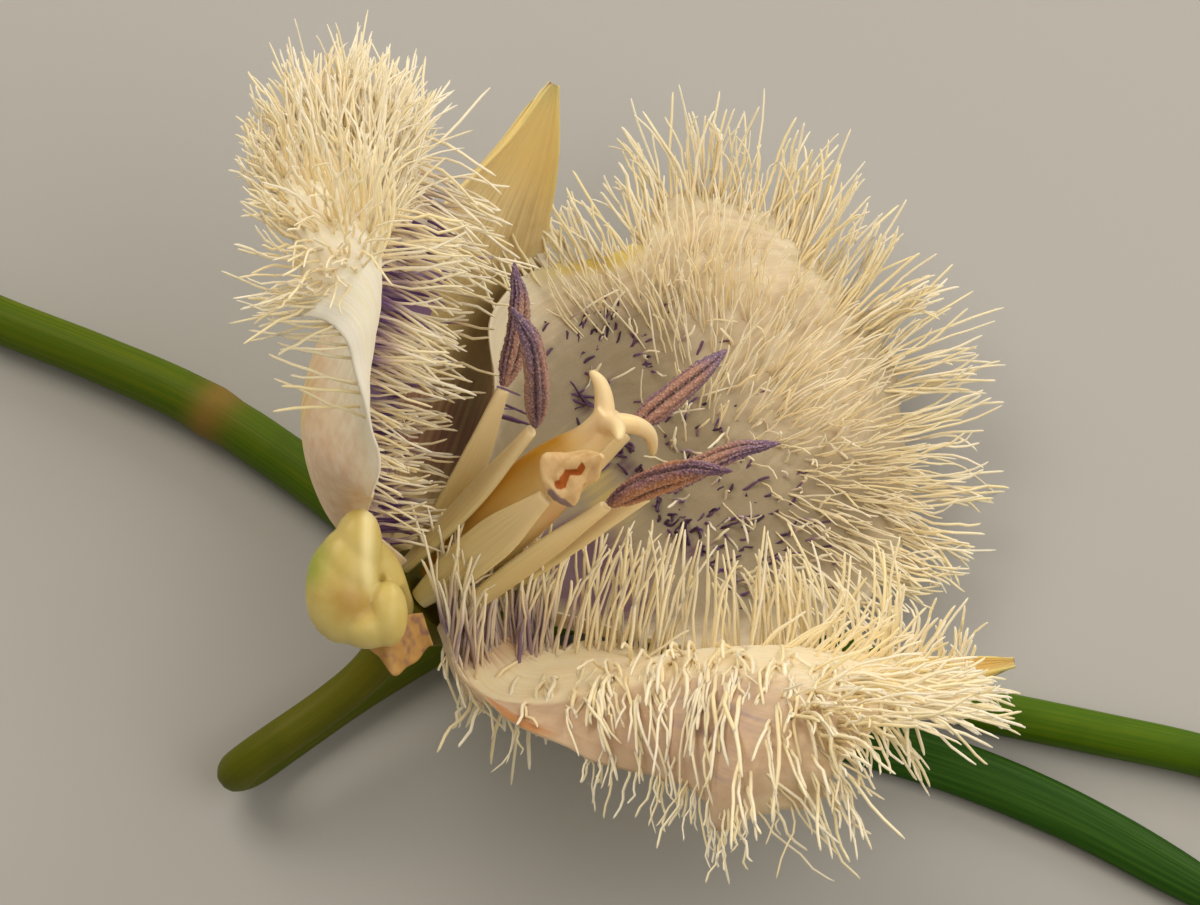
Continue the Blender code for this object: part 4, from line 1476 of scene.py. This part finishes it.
def stalkLook(name, low, high, warm):
    # green stalk: a tight waxy skin with faint lengthwise lines, satin in the light
    satin = {"Specular IOR Level": 0.2}
    made, tree, shader = startMaterial(name, 0.5, 1.4, **flesh(0.12, 0.3, 0.5, 0.1), **satin)
    place = addNode(tree, "TexCoord")
    lie = addNode(tree, "Attribute", attribute_name="lie")
    part = addNode(tree, "SeparateXYZ", links={"Vector": lie.outputs["Vector"]})
    mark = channels(tree, "paint")
    stretch = addNode(tree, "Mapping", {"Scale": (7, 7, 3)}, {"Vector": lie.outputs["Vector"]})
    lines = addNode(
        tree, "TexNoise", {"Scale": 1.6, "Detail": 5.0, "Roughness": 0.6},
        {"Vector": stretch.outputs["Vector"]},
    )
    cells = addNode(
        tree, "TexNoise", {"Scale": 1 / (0.1 * mm), "Detail": 3.0}, {"Vector": place.outputs["Object"]},
    )
    cloud = addNode(
        tree, "TexNoise", {"Scale": 1 / (2.5 * mm), "Detail": 3.0}, {"Vector": place.outputs["Object"]},
    )
    base = addNode(
        tree, "MixRGB", {"Color1": linear(low), "Color2": linear(high)}, {"Fac": part.outputs["Z"]},
    )
    tone = addNode(
        tree, "MapRange", {"From Min": 0.42, "From Max": 0.7, "To Max": 0.7},
        {"Value": lines.outputs["Fac"]},
    )
    body = addNode(
        tree, "MixRGB", {"Color2": linear(warm)},
        {"Fac": tone.outputs["Result"], "Color1": base.outputs["Color"]},
    )
    patch = addNode(
        tree, "MapRange", {"From Min": 0.5, "From Max": 0.75, "To Max": 0.35},
        {"Value": cloud.outputs["Fac"]},
    )
    deep = addNode(
        tree, "MixRGB", {"Color2": linear("#2c4806")},
        {"Fac": patch.outputs["Result"], "Color1": body.outputs["Color"]},
    )
    scar = addNode(
        tree, "MixRGB", {"Color2": linear("#8a6a34")},
        {"Fac": mark.outputs["X"], "Color1": deep.outputs["Color"]},
    )
    pith = addNode(
        tree, "MixRGB", {"Color2": linear("#cfd9a0")},
        {"Fac": mark.outputs["Y"], "Color1": scar.outputs["Color"]},
    )
    height = addNode(
        tree, "Math", {1: 0.4},
        {0: cells.outputs["Fac"], 2: lines.outputs["Fac"]}, operation="MULTIPLY_ADD",
    )
    finishLook(tree, shader, pith.outputs["Color"], height.outputs["Value"], 0.3, 0.03)
    return made


def makeStalks():
    for name, shape in stalks.items():
        frames = along(smooth(shape["path"], np.linspace(0, 1, shape["count"])))
        wobble = np.random.RandomState(len(name)).uniform(0, 6.28, 3)

        def place(angle, t):
            middles, _, across, up = onCurve(frames, t)
            ribs = 1 + 0.012 * np.sin(angle * 7 + wobble[0]) + 0.008 * np.sin(angle * 12 + t * 5)
            size = middles[:, 3] * ribs
            if name == "stem":
                size = size + 0.05 * bump(t, 0.345, 0.012) - 0.03 * bump(t, 0.37, 0.01)
            ring = across * np.cos(angle)[:, None] + up * np.sin(angle)[:, None]
            return (middles[:, :3] + ring * size[:, None]) * mm

        piece, angle, t = makeRod(name, 28, shape["rings"], place)
        seatRod(piece, name)
        scar = 0.8 * bump(t, 0.35, 0.018) if name == "stem" else t * 0
        writeField(piece.data, "paint", np.stack([scar, t * 0, t * 0], axis=1))
        roundEnds(piece, 0.05 * mm)
        look = stalkLook("waxy green " + name, shape["low"], shape["high"], shape["warm"])
        finishPiece(piece, look, shape["slot"], name)
    frames = along(smooth(bract["path"], np.linspace(0, 1, 22)), (0.0, 1.0, 0.0))

    def placeBract(angle, t):
        middles, _, across, up = onCurve(frames, t)
        wide = smooth(bract["halfWidths"], t)
        thick = np.minimum(wide, bract["halfThickness"])
        ribs = 1 + 0.02 * np.sin(angle * 11 + 1) + 0.015 * np.sin(angle * 17)
        flat = across * (wide * np.cos(angle))[:, None] + up * (thick * np.sin(angle) * ribs)[:, None]
        return (middles + flat) * mm

    piece, angle, t = makeRod("bract", 36, 120, placeBract)
    seatRod(piece, "bract")
    writeField(piece.data, "paint", np.zeros((len(t), 3)))
    roundEnds(piece, 0.04 * mm)
    finishPiece(piece, stalkLook("waxy green bract", "#264c08", "#1a4006", "#3c641c"), "bract", "bract")
    print("stalks and bract are made")


makeStalks()
